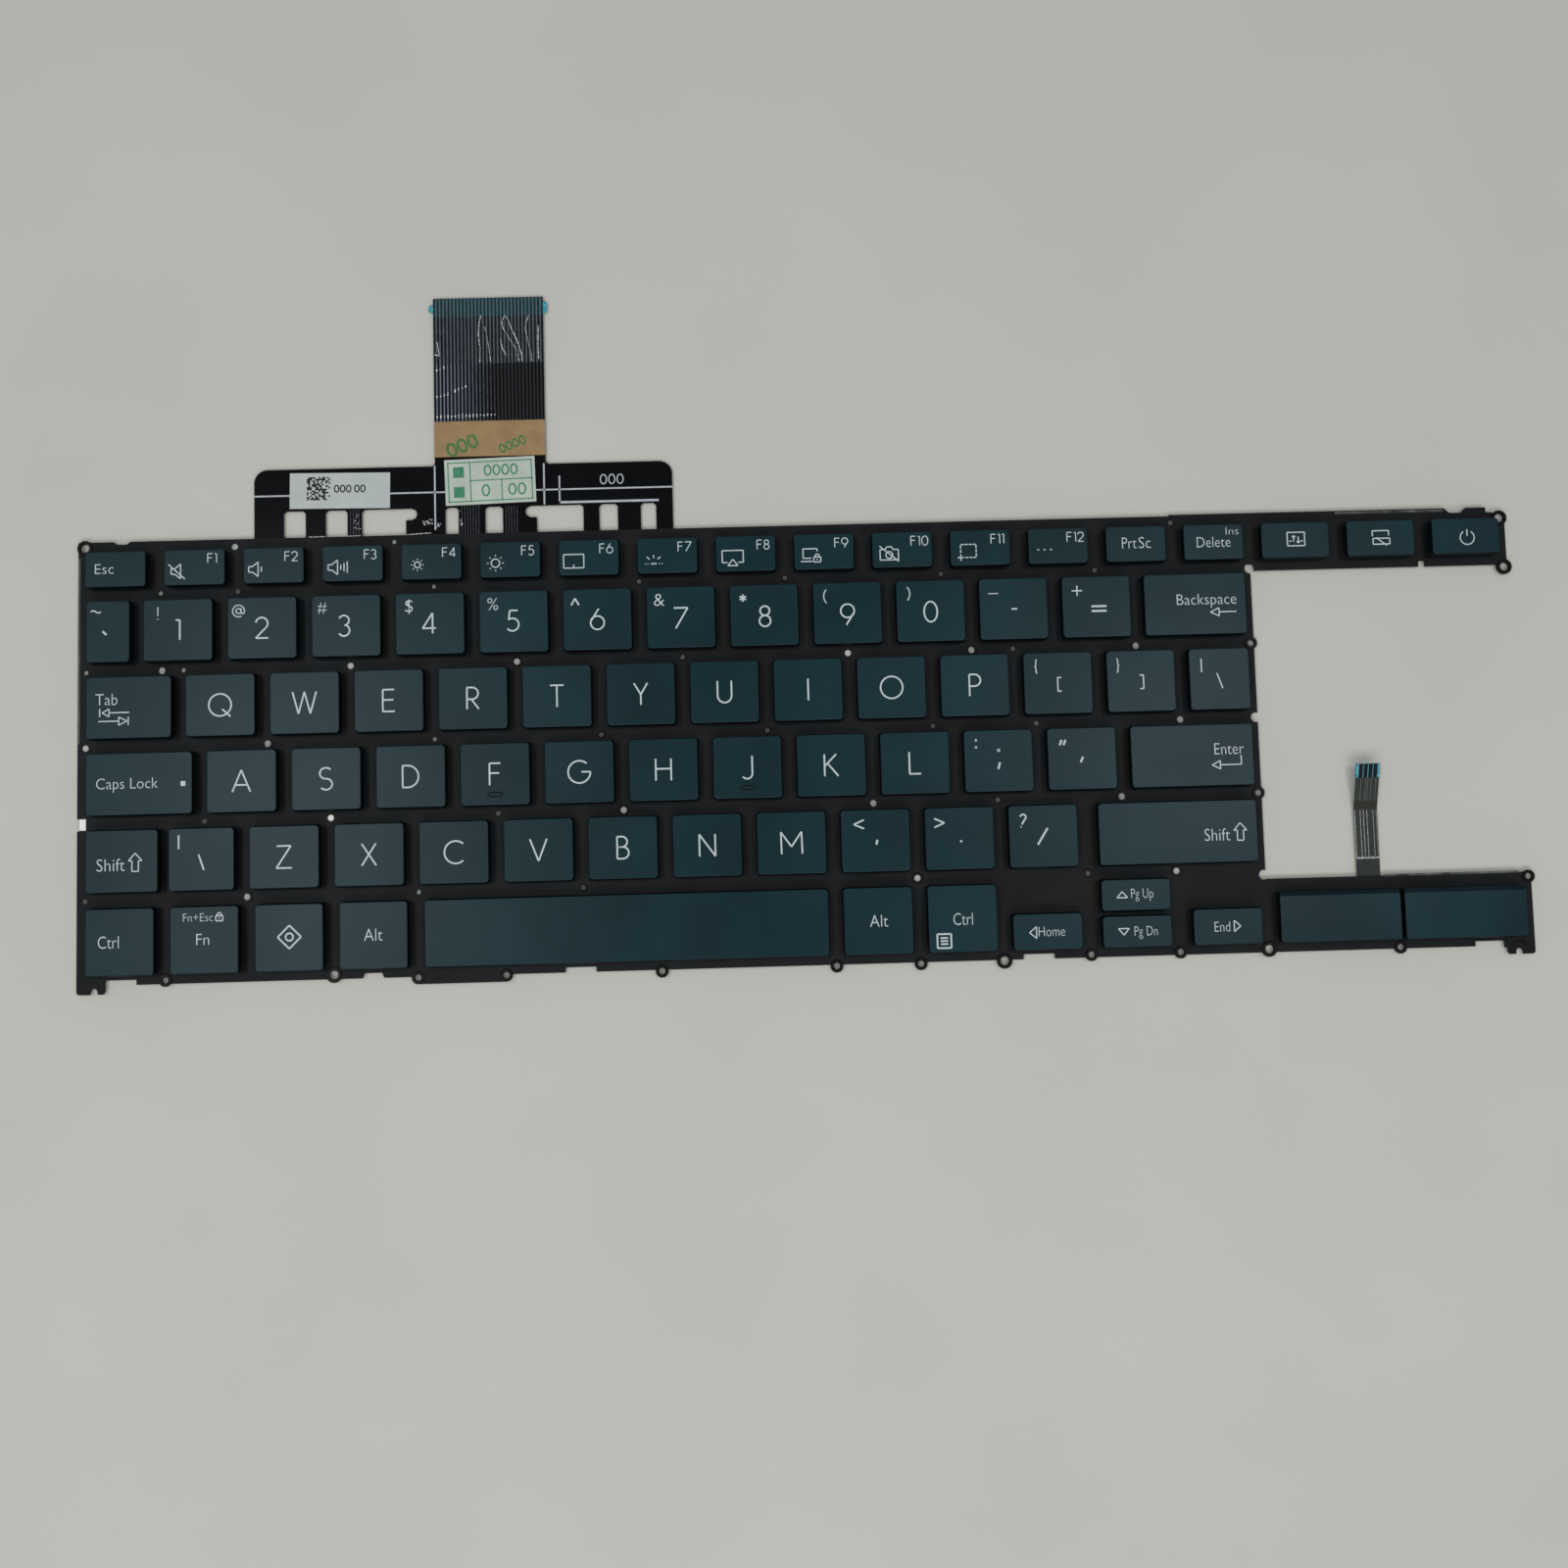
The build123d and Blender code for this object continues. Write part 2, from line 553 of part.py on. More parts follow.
# Stiffeners under the ends of the tail and of the button ribbon
bend_y, bend_z = RIBBON_LINE[-2]
end_y, end_z = RIBBON_LINE[-1]
stiffener_slope = (end_z - bend_z) / (end_y - bend_y)
stiffener_y = end_y - RIBBON_STIFFENER_LENGTH
stiffener_z = end_z - RIBBON_STIFFENER_LENGTH * stiffener_slope
with BuildPart() as ribbon_stiffeners:
    with BuildSketch(level(MEMBRANE_Z - STIFFENER_THICKNESS)):
        with Locations(((TAIL_LEFT + TAIL_RIGHT) / 2, TAIL_END - STIFFENER_LENGTH / 2)):
            Rectangle(TAIL_RIGHT - TAIL_LEFT, STIFFENER_LENGTH)
        with Locations(((TAIL_LEFT + TAIL_RIGHT) / 2, STIFFENER_TAB_Y)):
            Rectangle(TAIL_RIGHT - TAIL_LEFT + 2 * STIFFENER_TAB[0], STIFFENER_TAB[1])
    extrude(amount=STIFFENER_THICKNESS)
    with BuildSketch(ribbon_side(RIBBON_LEFT - RIBBON_STIFFENER_LAP)):
        with BuildLine():
            Polyline(
                (stiffener_y, stiffener_z), (end_y, end_z),
                (end_y, end_z - STIFFENER_THICKNESS), (stiffener_y, stiffener_z - STIFFENER_THICKNESS),
                close=True,
            )
        make_face()
    extrude(amount=RIBBON_RIGHT - RIBBON_LEFT + 2 * RIBBON_STIFFENER_LAP)
save(ribbon_stiffeners, "ribbon_stiffeners")

# Liner on the tail, and the two labels on the apron
with BuildPart() as ribbon_liner:
    with BuildSketch(level(PLATE_Z)):
        with Locations(((TAIL_LEFT + TAIL_RIGHT) / 2, (LINER_LOWER + LINER_UPPER) / 2)):
            Rectangle(TAIL_RIGHT - TAIL_LEFT, LINER_UPPER - LINER_LOWER)
    extrude(amount=LABEL_THICKNESS)
save(ribbon_liner, "ribbon_liner")

with BuildPart() as code_label:
    with BuildSketch(level(PLATE_Z)):
        label_plan(CODE_LABEL)
    extrude(amount=LABEL_THICKNESS)
save(code_label, "code_label")

with BuildPart() as date_label:
    with BuildSketch(level(PLATE_Z)):
        label_plan(DATE_LABEL)
    extrude(amount=LABEL_THICKNESS)
save(date_label, "date_label")
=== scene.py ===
"""Looks of the laptop replacement keyboard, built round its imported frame.

Sizes and places are millimetres in the frame's own axes. Places on the plate and the films are measured
from the middle of the Q column and of the digit row, and LAYOUT_SHIFT carries them to the frame.
"""

import math
import random

import bmesh
import bpy
from mathutils import Matrix, Vector


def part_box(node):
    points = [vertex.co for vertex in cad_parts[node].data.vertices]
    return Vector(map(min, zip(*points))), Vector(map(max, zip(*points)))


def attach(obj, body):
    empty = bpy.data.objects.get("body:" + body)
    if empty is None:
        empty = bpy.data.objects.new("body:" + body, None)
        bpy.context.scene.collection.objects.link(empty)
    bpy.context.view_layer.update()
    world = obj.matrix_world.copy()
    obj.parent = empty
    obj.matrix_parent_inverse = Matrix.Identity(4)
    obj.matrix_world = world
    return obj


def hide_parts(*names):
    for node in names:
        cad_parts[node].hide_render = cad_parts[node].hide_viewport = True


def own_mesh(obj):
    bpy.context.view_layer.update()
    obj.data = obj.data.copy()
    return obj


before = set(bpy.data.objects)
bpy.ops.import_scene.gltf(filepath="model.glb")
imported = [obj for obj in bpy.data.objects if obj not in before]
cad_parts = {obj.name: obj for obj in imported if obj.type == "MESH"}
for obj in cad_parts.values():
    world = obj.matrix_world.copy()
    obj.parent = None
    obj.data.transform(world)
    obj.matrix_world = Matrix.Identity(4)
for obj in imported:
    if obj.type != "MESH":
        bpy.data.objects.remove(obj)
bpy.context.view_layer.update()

MM = 0.001
LAYOUT_SHIFT = Vector((-126.65, 2.2, 0.0))
KEY_PITCH = 18.2
ROW_PITCH = 16.64

# Heights that the frame gives
CAP_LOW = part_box("key_a")[0].z / MM
KEY_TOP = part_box("key_a")[1].z / MM
PLATE_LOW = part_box("base_plate")[0].z / MM
PLATE_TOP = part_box("base_plate")[1].z / MM
FILM_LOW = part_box("membrane_sheet")[0].z / MM
FILM_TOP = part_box("membrane_sheet")[1].z / MM
LABEL_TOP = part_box("code_label")[1].z / MM

# Caps
CAP_LEAN = 0.24
CAP_CORNER = 0.8
CAP_EDGE = 0.14
CAP_WALL = 0.7
POCKET_DEPTH = 0.8
# Faces whose normal rises less than this count as a cap's walls and get the painted shade
WALL_SLOPE = 0.5
HOMING_BAR = (2.9, 0.6, 0.18)
HOMING_BAR_FROM_EDGE = 2.55
HOMING_SHADE_OUTLINE = 0.26
# Run and drop of the buttons' sloped rear edge, and how far its faces turn to the rear to get the painted
# shade
BUTTON_SLOPE = (0.87, 0.45)
SLOPE_FACING = 0.2
BUTTONS = ("button_left", "button_right")

# Domes and links under the caps
DOME_PROFILE = [(2.6, 0.0), (2.5, 0.35), (1.9, 1.5), (1.75, 2.25), (1.5, 2.4), (0.0, 2.4)]
POST_PROFILE = [(2.6, 0.0), (2.5, 0.35), (2.05, 1.1), (1.9, 1.75), (0.0, 1.75)]
DOME_STEPS = 20
LINK_LENGTH = 9.0
LINK_RISE = 1.7
LINK_BAR = 0.8
LINK_THICKNESS = 0.5
LINK_WIDTHS = (10.6, 8.2)
LINK_MIDDLE = 1.2
LINK_EDGE = 0.1
# Stubs that the links turn on: radius, how far they stand out, distance from the leg's end
LINK_PIN = 0.3
LINK_PIN_REACH = 0.3
LINK_PIN_FROM_END = 0.5
LINK_PIN_SIDES = 12
SPACE_LINK_OFFSET = 21.0

# Holes and rims of the plate
EARS = [
    (-13.0, -75.7), (41.4, -76.7), (60.4, -76.7), (94.1, -76.8), (132.0, -76.8), (150.3, -76.8),
    (187.5, -75.9), (207.0, -75.9), (255.2, -76.2), (225.7, -8.4), (225.7, -41.6), (284.2, -61.5),
]
BIG_EARS = [(-30.6, 19.2), (23.3, -75.6), (168.5, -76.7), (226.4, -75.8), (282.6, 18.3), (283.1, 7.3)]
RIMMED_GRID = [
    (0.5, 1.5), (3.5, 0.5), (9.0, 0.5), (11.0, 0.5), (4.75, 2.5), (10.75, 2.5), (0.25, 3.5), (8.25, 3.5),
    (11.37, 3.5),
]
PLAIN_GRID = [(-0.76, 0.5), (1.5, 0.5), (7.5, 0.5), (11.5, 1.5), (1.25, 2.5), (7.75, 2.5)]
PLAIN_EDGE_HOLES = [(2.1, 18.8), (-30.4, -25.0)]
WHITE_HOLE = (1.25, 2.5)
PIN_GRID = [
    (-0.5, 0.5), (2.5, 1.5), (2.29, 3.5), (-0.25, 2.5), (5.5, 0.5), (4.5, 1.5), (6.5, 1.5), (3.25, 2.5),
    (9.5, 0.5), (8.5, 1.5), (9.75, 1.5), (9.25, 2.5), (4.25, 3.5), (10.3, 3.5),
]
EDGE_PINS = [
    (-30.3, -8.4), (-14.1, 8.8), (45.7, 8.8), (37.1, 19.0), (209.1, 19.0), (-30.3, -58.3), (2.8, 8.8),
    (90.9, 8.8), (123.1, 8.8), (157.6, 8.8), (191.8, 8.8),
]
# Pins sunk so far that only a dark dimple shows
SUNK_PINS = [(140.8, 19.0), (175.2, 19.0), (245.3, 19.0)]
# How many pins of each list, from its start, have kept a bright face, and how far it is off the middle,
# which leaves a dark crescent of rim on one side as painted shade
BRIGHT_GRID_PINS = 3
BRIGHT_EDGE_PINS = 4
BRIGHT_SHIFT = Vector((0.14, -0.05, 0.0))
# Inner radius, outer radius and height over the plate
EAR_RIM = (0.68, 1.4, 0.28)
BIG_EAR_RIM = (0.93, 1.7, 0.3)
HOLE_RIM = (0.72, 1.25, 0.16)
HOLE_LIP = (0.72, 0.98, 0.03)
PIN_RIM = (0.46, 0.74, 0.05)
RIM_STEPS = 28
# Film seen in a hole, as radius and height over the plate's underside, and film seen in the left notch
HOLE_BACK = [(0.74, 0.1), (0.7, 0.12), (0.0, 0.12)]
HOLE_BACK_STEPS = 20
NOTCH_BACK = ((-31.75, -29.85), (-42.9, -40.4))
# Strips of the guide and of the films that show level with the plate's top
GUIDE_SLIVER = ((-32.09, -31.62), (-24.0, 17.0))
FILM_EDGES = [((246.0, 270.2), (20.05, 20.6)), ((252.5, 282.0), (-60.65, -60.2))]
STRIP_ROOT = 0.1
STRIP_RISE = 0.01
# Radius and height over the plate of a blind pin's face, and of the dimple in its middle
PIN_PROFILE = [(0.5, -0.05), (0.5, 0.01), (0.0, 0.02)]
DIMPLE_PROFILE = [(0.16, 0.0), (0.14, 0.03), (0.0, 0.03)]
PIN_STEPS = 16
DIMPLE_STEPS = 10

# Middle of each leg's slot, the top of the slots, and the arc pressed round it
LEG_SLOTS = (-28.3, 281.3)
SLOT_TOP = -76.9
COINED_RADIUS = 1.45
COINED_WEIGHT = 0.7

# Film apron, tail and button ribbon
APRON = (6.3, 98.7)
TAIL = (46.2, 70.7)
TAIL_SPAN = (TAIL[0] + LAYOUT_SHIFT.x, TAIL[1] + LAYOUT_SHIFT.x)
TAIL_TRACES = 30
TAIL_TRACE_PITCH = 0.8
TAIL_TRACE_WIDTH = 0.3
LINER = (37.9, 45.9)
OVERLAY = (59.0, 69.8)
TAIL_END = 74.0
PRINT_HEIGHT = 0.02
PRINT_ROOT = 0.02
GROUND_RISE = 0.01
GROUND_ROOT = 0.03
FINE_PITCH = 0.62
FINE_WIDTH = 0.12
CREASE_WEIGHT = 0.17
CREASE_LIFT = 0.12
OVERLAY_LIFT = 0.06
OVERLAY_GRID = (96, 48)
# Middle, capital height and line weight of the plain number on the apron
APRON_NUMBER = (85.3, 32.1, 2.1, 0.26)
# Blue ears beside the contact end: the tail's side, the reach past it, and the two ends
EAR_TABS = [(TAIL[0], 1.0, 70.9, 72.5), (TAIL[1], 0.85, 70.3, 72.8)]
EAR_TAB_CORNER = 0.4
LINER_SLANT = 22.0
CROSS_CREASE = (0.3, 0.9)
CODE_LABEL = (25.2, 30.9, 22.1, 8.0, -0.8)
DATE_LABEL = (58.4, 32.3, 20.0, 10.3, 1.6)
CODE_BLOCK = (-7.3, -2.1)
CODE_CELLS = 14
CODE_CELL = 0.37
CODE_FILL = 0.58
# Plain numbers beside the block, each with its middle along the label, and their height and line weight
CODE_NUMBERS = [("000", 0.6), ("00", 4.4)]
CODE_NUMBER_Y = 0.45
CODE_NUMBER_SIZE = (1.5, 0.3)
RULE = 0.24
RULE_INSET = 0.65
# Shares of the frame that its left column and its upper row take
LEFT_COLUMN = 0.26
UPPER_ROW = 0.46
DATE_SQUARE = 1.2
DATE_WEIGHT = 0.38
RIBBON = (246.7, 251.8)
RIBBON_LINE = [(-66.0, 0.0), (-58.0, 0.0), (-45.5, 0.1), (-36.0, 3.3)]
RIBBON_PADS = 4
PAD_MARGIN = 0.52
PAD_PITCH = 1.06
PAD_WIDTH = 0.92
STRIP_PARTS = 24
STRIP_DEPTH = 0.05
# Lines below and above the ribbon's band: the share of its width that each starts at, and the line's width
RIBBON_LINES = [(0.01, 0.16), (0.25, 0.13), (0.39, 0.12), (0.54, 0.13), (0.81, 0.1), (0.95, 0.08)]
UPPER_LINES = [(share, 0.1) for share in (0.22, 0.42, 0.52, 0.66, 0.86)]

# Legends: line weights and how far the ink stands over the cap
LETTER_HEIGHT = 4.75
DIGIT_HEIGHT = 4.5
LETTER_WEIGHT = 0.36
SYMBOL_WEIGHT = 0.28
ICON_WEIGHT = 0.25
FUNCTION_WEIGHT = 0.21
BOLD_WEIGHT = 0.45
WORD_THINNING = 0.045
INK_HEIGHT = 0.015
FONT_CAP_HEIGHT = 0.682
# Middle and height of the labels of the function row, and how far its icons are raised
FUNCTION_LABEL = (3.85, 1.9, 2.05)
ICON_RAISE = 0.1

# Camera and light, in metres, degrees and watts
CAMERA_PLACE = (-0.01025, -0.05991, 0.34345)
CAMERA_TURN = (4.243, -0.754, -1.61)
LENS = 36.0
SENSOR = 36.0
# Place, size and power of each soft light, all turned to the middle of the keyboard
LIGHTS = {
    "light_left": ((-0.41, 0.01, 1.0), (0.42, 0.2), 2.6),
    "light_right": ((0.37, 0.06, 1.0), (0.2, 0.18), 1.6),
    "light_front": ((0.0, -0.75, 1.1), (1.2, 0.5), 7.4),
}
AMBIENT = 0.32


def at(x, y, z=0.0):
    """A place measured from the Q column and the digit row, in the frame."""
    return Vector((x, y, z)) + LAYOUT_SHIFT


def grid_place(column, row):
    """A layout place given in key pitches."""
    return (column * KEY_PITCH, -row * ROW_PITCH)


# Materials


def linear(code):
    """An sRGB hex colour as the linear colour that a shader takes."""
    parts = [int(code[i:i + 2], 16) / 255 for i in (1, 3, 5)]
    return [c / 12.92 if c <= 0.04045 else ((c + 0.055) / 1.055) ** 2.4 for c in parts] + [1.0]


def add_node(tree, kind, inputs=None, links=None, **settings):
    """Add one node with its settings, socket values and links."""
    node = tree.nodes.new(kind)
    for name, value in settings.items():
        setattr(node, name, value)
    for socket, value in (inputs or {}).items():
        node.inputs[socket].default_value = value
    for socket, (source, output) in (links or {}).items():
        tree.links.new(source.outputs[output], node.inputs[socket])
    return node


def per_metre(feature):
    """The texture scale whose features are that many millimetres across."""
    return 1 / (feature * MM)


# Where a finish turns from one colour to the other, and how much of its patches a grained one keeps
RAMP_STOPS = (0.3, 0.7)
PATCH_SHARE = 0.3


def surface(name, colours, roughness, patch, grit=None, grit_depth=0.0, along=None, **shader):
    """A finish of two colours in soft patches, or between two places along the rows, with an optional fine
    grit. Sizes and places are millimetres.
    """
    material = bpy.data.materials.new(name)
    material.use_nodes = True
    tree = material.node_tree
    principled = tree.nodes["Principled BSDF"]
    principled.inputs["Roughness"].default_value = roughness
    for socket, value in shader.items():
        principled.inputs[socket].default_value = value
    place = add_node(tree, "ShaderNodeTexCoord")
    here = {"Vector": (place, "Object")}
    cloud = add_node(tree, "ShaderNodeTexNoise", {"Scale": per_metre(patch), "Detail": 3.0}, here)
    blend = (cloud, "Fac")
    if along:
        axes = add_node(tree, "ShaderNodeSeparateXYZ", links=here)
        ends = {"From Min": along[0] * MM, "From Max": along[1] * MM}
        way = add_node(tree, "ShaderNodeMapRange", ends, {"Value": (axes, "X")})
        spread = {1: PATCH_SHARE}
        mixed = {0: (cloud, "Fac"), 2: (way, "Result")}
        blend = (add_node(tree, "ShaderNodeMath", spread, mixed, operation="MULTIPLY_ADD"), "Value")
    ramp = add_node(tree, "ShaderNodeValToRGB", links={"Fac": blend})
    for stop, position, colour in zip(ramp.color_ramp.elements, RAMP_STOPS, colours):
        stop.position = position
        stop.color = linear(colour)
    tree.links.new(ramp.outputs["Color"], principled.inputs["Base Color"])
    if grit:
        grain = add_node(tree, "ShaderNodeTexNoise", {"Scale": per_metre(grit), "Detail": 2.0}, here)
        depth = {"Strength": 0.6, "Distance": grit_depth * MM}
        bump = add_node(tree, "ShaderNodeBump", depth, {"Height": (grain, "Fac")})
        tree.links.new(bump.outputs["Normal"], principled.inputs["Normal"])
    return material


DULL = {"Specular IOR Level": 0.2}
FAINT = {"Specular IOR Level": 0.1}
# Soft-touch paint over moulded ABS: a dull teal with a dry, even sheen and a grit that is only just seen
cap_paint = surface("soft_touch_paint_on_abs", ("#0D262C", "#132F36"), 0.3, 26.0, 0.22, 0.012, **FAINT)
# Lower walls of the caps: a near-black painted shade for the shade that falls between the keys, so that each
# cap stands out
cap_wall_painted_shade = surface("cap_walls_painted_shade", ("#060A0C", "#090E10"), 0.55, 6.0, 0.22, 0.012, **FAINT)
# Sloped rear edge of the buttons: the cap paint darkened as painted shade
slope_painted_shade = surface("button_slope_painted_shade", ("#08181F", "#0D2028"), 0.46, 26.0, 0.22, 0.012, **FAINT)
# Laser-cut legend in that paint: the pale diffusing plastic below it shows
legend_white = surface("laser_cut_legend", ("#AEBBC0", "#BCC7CA"), 0.6, 1.5)
# Black electrophoretic coat on stamped steel: dull, nearly neutral, with a fine orange peel
plate_coat = surface("black_coat_on_steel", ("#101214", "#16191B"), 0.5, 9.0, 0.35, 0.012, **FAINT)
# The same coat where dies have burnished a rim: a little smoother, so its edge catches light
rim_coat = surface("burnished_black_rim", ("#060607", "#0B0B0C"), 0.36, 2.0, 0.35, 0.01, **FAINT)
# Base of a blind pin hole: bare grey in some, coated and darker in most
pin_grey = surface("grey_pin_base", ("#6C7072", "#868A8A"), 0.55, 0.6)
pin_dull = surface("coated_pin_base", ("#3A3D3F", "#525658"), 0.55, 0.6)
# Polyester film printed black: a deep gloss with a slight roll in it
film_black = surface("black_printed_polyester", ("#060709", "#0A0B0D"), 0.12, 6.0, 7.0, 0.02, **FAINT)
# Ground that shows between the tail's lines: navy at the left, neutral at the right
tail_ground_film = surface(
    "navy_to_black_film", ("#0B111D", "#0C0D0E"), 0.14, 3.0, 7.0, 0.02, along=TAIL_SPAN, **FAINT
)
# Clear overlay on the tail: it greys what is below, and the white along its creases is painted highlight
overlay_film = surface("clear_overlay", ("#242A2F", "#343A40"), 0.16, 2.0, 1.6, 0.03, Alpha=0.3, **FAINT)
crease_painted_highlights = surface("painted_crease_highlights", ("#3A4046", "#F2F4F4"), 0.35, 0.5)
# Screen-printed silver ink, lighter at the left and darker towards the right as painted sheen, and grey
# under the overlay
trace_ink_painted_sheen = surface("ink_painted_sheen_fading_right", ("#666B76", "#2B2D30"), 0.34, 1.2, along=TAIL_SPAN, **FAINT)
covered_ink = surface("covered_silver_ink", ("#5E646B", "#787E86"), 0.34, 1.6, **FAINT)
fine_ink = surface("fine_silver_ink", ("#373A41", "#565A62"), 0.34, 1.2, **FAINT)
ribbon_ink = surface("bright_silver_ink", ("#6C7070", "#A4A8A6"), 0.34, 0.8)
ribbon_dim = surface("dull_silver_ink", ("#444946", "#585D59"), 0.36, 0.8)
# Contact end of the tail: the blue stiffener seen through the film as a dark teal, with greyed lines on it
contact_film = surface("teal_backed_film", ("#172B31", "#1E353C"), 0.3, 3.0, **FAINT)
contact_line = surface("greyed_contact_line", ("#43595F", "#526A70"), 0.35, 1.0, **FAINT)
# Carbon contact bars on the ribbon's stiffened end
contact_ink = surface("carbon_contact_ink", ("#030F15", "#07171E"), 0.4, 1.0, **FAINT)
stiffener_blue = surface("blue_polyester_stiffener", ("#116E8A", "#4DA9B4"), 0.35, 0.8)
# Grey printed ribbon film with its dark shield band and its adhesive tab
ribbon_grey = surface("grey_ribbon_film", ("#272C29", "#313632"), 0.34, 2.5, 4.0, 0.03, **FAINT)
ribbon_dark = surface("dark_shield_film", ("#1A1913", "#242219"), 0.4, 1.5, **DULL)
ribbon_tab = surface("dark_adhesive_tab", ("#252A2A", "#2E3333"), 0.42, 2.5, **FAINT)
# Kraft liner of an adhesive patch: dry tan paper with a faint fibre, and plain green print
liner_paper = surface("kraft_liner", ("#8A7250", "#977E5A"), 0.7, 3.0, 0.4, 0.02, **DULL)
liner_green = surface("green_liner_print", ("#356632", "#46743F"), 0.7, 1.0)
# Label stock and its printing inks
label_white = surface("coated_label_paper", ("#A9B1B1", "#B2B9B8"), 0.55, 5.0, **DULL)
label_pale = surface("pale_green_label_paper", ("#A8B2A8", "#B5BEB4"), 0.55, 4.0, **DULL)
print_green = surface("green_label_ink", ("#357459", "#468A6C"), 0.55, 1.0, **DULL)
print_black = surface("black_label_ink", ("#141517", "#1E1F22"), 0.55, 1.0, **DULL)
print_white = surface("white_screen_print", ("#9DA3AB", "#B0B5BC"), 0.45, 2.0)
# White reflector film, also as shaded in a hole, the clear light guide, and the guide's greenish edge
reflector = surface("white_reflector_film", ("#E2E3DF", "#ECEDE9"), 0.6, 8.0)
shaded_film = surface("shaded_reflector_film", ("#969A98", "#BCC0BE"), 0.6, 8.0)
guide_clear = surface("clear_light_guide", ("#E2E6E3", "#ECEFEC"), 0.1, 6.0, Alpha=0.12)
guide_edge = surface("light_guide_edge", ("#3F463F", "#525951"), 0.4, 4.0, **FAINT)
# Film edges that show along the top of the arms: mottled grey whose pale patches are painted glints
film_edge_painted_glints = surface("film_edge_with_painted_glints", ("#1A1C1D", "#666A68"), 0.35, 3.5, **FAINT)
# Milky silicone domes, waxy dark acetal links and drawn spring wire under the keys
dome_silicone = surface("milky_silicone", ("#B9BAB4", "#C8C9C3"), 0.5, 2.0)
link_acetal = surface("dark_acetal", ("#16181A", "#202224"), 0.42, 2.0, **DULL)
wire_steel = surface("drawn_spring_steel", ("#8D8E90", "#A4A5A6"), 0.3, 1.0, Metallic=1.0)


# Mesh helpers


def start_box(low, high):
    """A bmesh that holds one box between two corners."""
    bm = bmesh.new()
    low = Vector(low)
    high = Vector(high)
    place = Matrix.Translation((low + high) / 2) @ Matrix.Diagonal((*(high - low), 1.0))
    bmesh.ops.create_cube(bm, size=1.0, matrix=place)
    return bm


def join(target, part, material_index=0):
    """Move what one bmesh holds into another, under one material."""
    for face in part.faces:
        face.material_index = material_index
    carrier = bpy.data.meshes.new("carrier")
    part.to_mesh(carrier)
    part.free()
    target.from_mesh(carrier)
    bpy.data.meshes.remove(carrier)


def add_sheet(bm, x_range, y_range, low, high):
    """Add a thin flat sheet between layout places."""
    join(bm, start_box(at(x_range[0], y_range[0], low), at(x_range[1], y_range[1], high)))


def add_film_print(bm, x_range, y_range):
    """Add a flat line of print to the film circuit."""
    add_sheet(bm, x_range, y_range, FILM_TOP - PRINT_ROOT, FILM_TOP + PRINT_HEIGHT)


def add_plate_strip(bm, x_range, y_range):
    """Add a strip of film that shows level with the plate's top."""
    add_sheet(bm, x_range, y_range, PLATE_TOP - STRIP_ROOT, PLATE_TOP + STRIP_RISE)


def finish_piece(name, bm, body, materials, replaced=()):
    """Turn a bmesh in millimetres into a piece that rides on a body."""
    bmesh.ops.recalc_face_normals(bm, faces=bm.faces)
    bmesh.ops.scale(bm, vec=(MM, MM, MM), verts=bm.verts)
    mesh = bpy.data.meshes.new(name)
    bm.to_mesh(mesh)
    bm.free()
    for material in materials:
        mesh.materials.append(material)
    piece = bpy.data.objects.new(name, mesh)
    bpy.context.scene.collection.objects.link(piece)
    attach(piece, body)
    if replaced:
        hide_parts(*replaced)
    return piece


def film_piece(name, bm, material):
    """A piece of the film circuits."""
    return finish_piece(name, bm, "chassis", [material])


def bevel(bm, edges, offset, segments):
    """Round edges off by an offset."""
    bmesh.ops.bevel(
        bm, geom=edges, offset=offset, segments=segments, profile=0.5, affect="EDGES", material=-1
    )


def spin_profile(bm, place, profile, closed, steps):
    """Turn a profile of radius and height round an upright axis."""
    verts = [bm.verts.new(Vector(place) + Vector((radius, 0.0, z))) for radius, z in profile]
    edges = [bm.edges.new(pair) for pair in zip(verts, verts[1:] + verts[:1])]
    if not closed:
        bm.edges.remove(edges.pop())
    bmesh.ops.spin(
        bm, geom=verts + edges, cent=place, axis=(0, 0, 1), angle=math.tau, steps=steps, use_merge=True
    )
    bmesh.ops.remove_doubles(bm, verts=bm.verts, dist=1e-5)


def add_ring(bm, place, rim):
    """Add a turned rim with rounded top edges, open in the middle."""
    inner, outer, height = rim
    low = PLATE_LOW + 0.02
    top = PLATE_TOP + height
    soft = min(0.12, height * 0.6)
    profile = [
        (inner, low), (inner, top - soft), (inner + soft, top),
        (outer - soft, top), (outer, top - soft), (outer, low),
    ]
    turned = bmesh.new()
    spin_profile(turned, at(*place), profile, True, RIM_STEPS)
    join(bm, turned)


def curve_mesh(curve):
    """A bmesh of a text or stroke curve."""
    holder = bpy.data.objects.new("holder", curve)
    mesh = bpy.data.meshes.new_from_object(holder)
    bm = bmesh.new()
    bm.from_mesh(mesh)
    for face in bm.faces:
        face.smooth = False
    bpy.data.meshes.remove(mesh)
    bpy.data.objects.remove(holder)
    bpy.data.curves.remove(curve)
    return bm


def span(bm, axis):
    """Lowest and highest place of a bmesh along an axis."""
    places = [vert.co[axis] for vert in bm.verts]
    return min(places), max(places)


def strokes_mesh(strokes, weight, ink=INK_HEIGHT):
    """Flat ink lines of one weight along the strokes."""
    curve = bpy.data.curves.new("strokes", "CURVE")
    curve.dimensions = "3D"
    curve.bevel_depth = weight / 2
    curve.bevel_resolution = 0
    curve.use_fill_caps = True
    for points in strokes:
        spline = curve.splines.new("POLY")
        spline.points.add(len(points) - 1)
        for point, (x, y) in zip(spline.points, points):
            point.co = (x, y, 0.0, 1.0)
    bm = curve_mesh(curve)
    bmesh.ops.scale(bm, vec=(1.0, 1.0, ink / (weight / 2)), verts=bm.verts)
    return bm


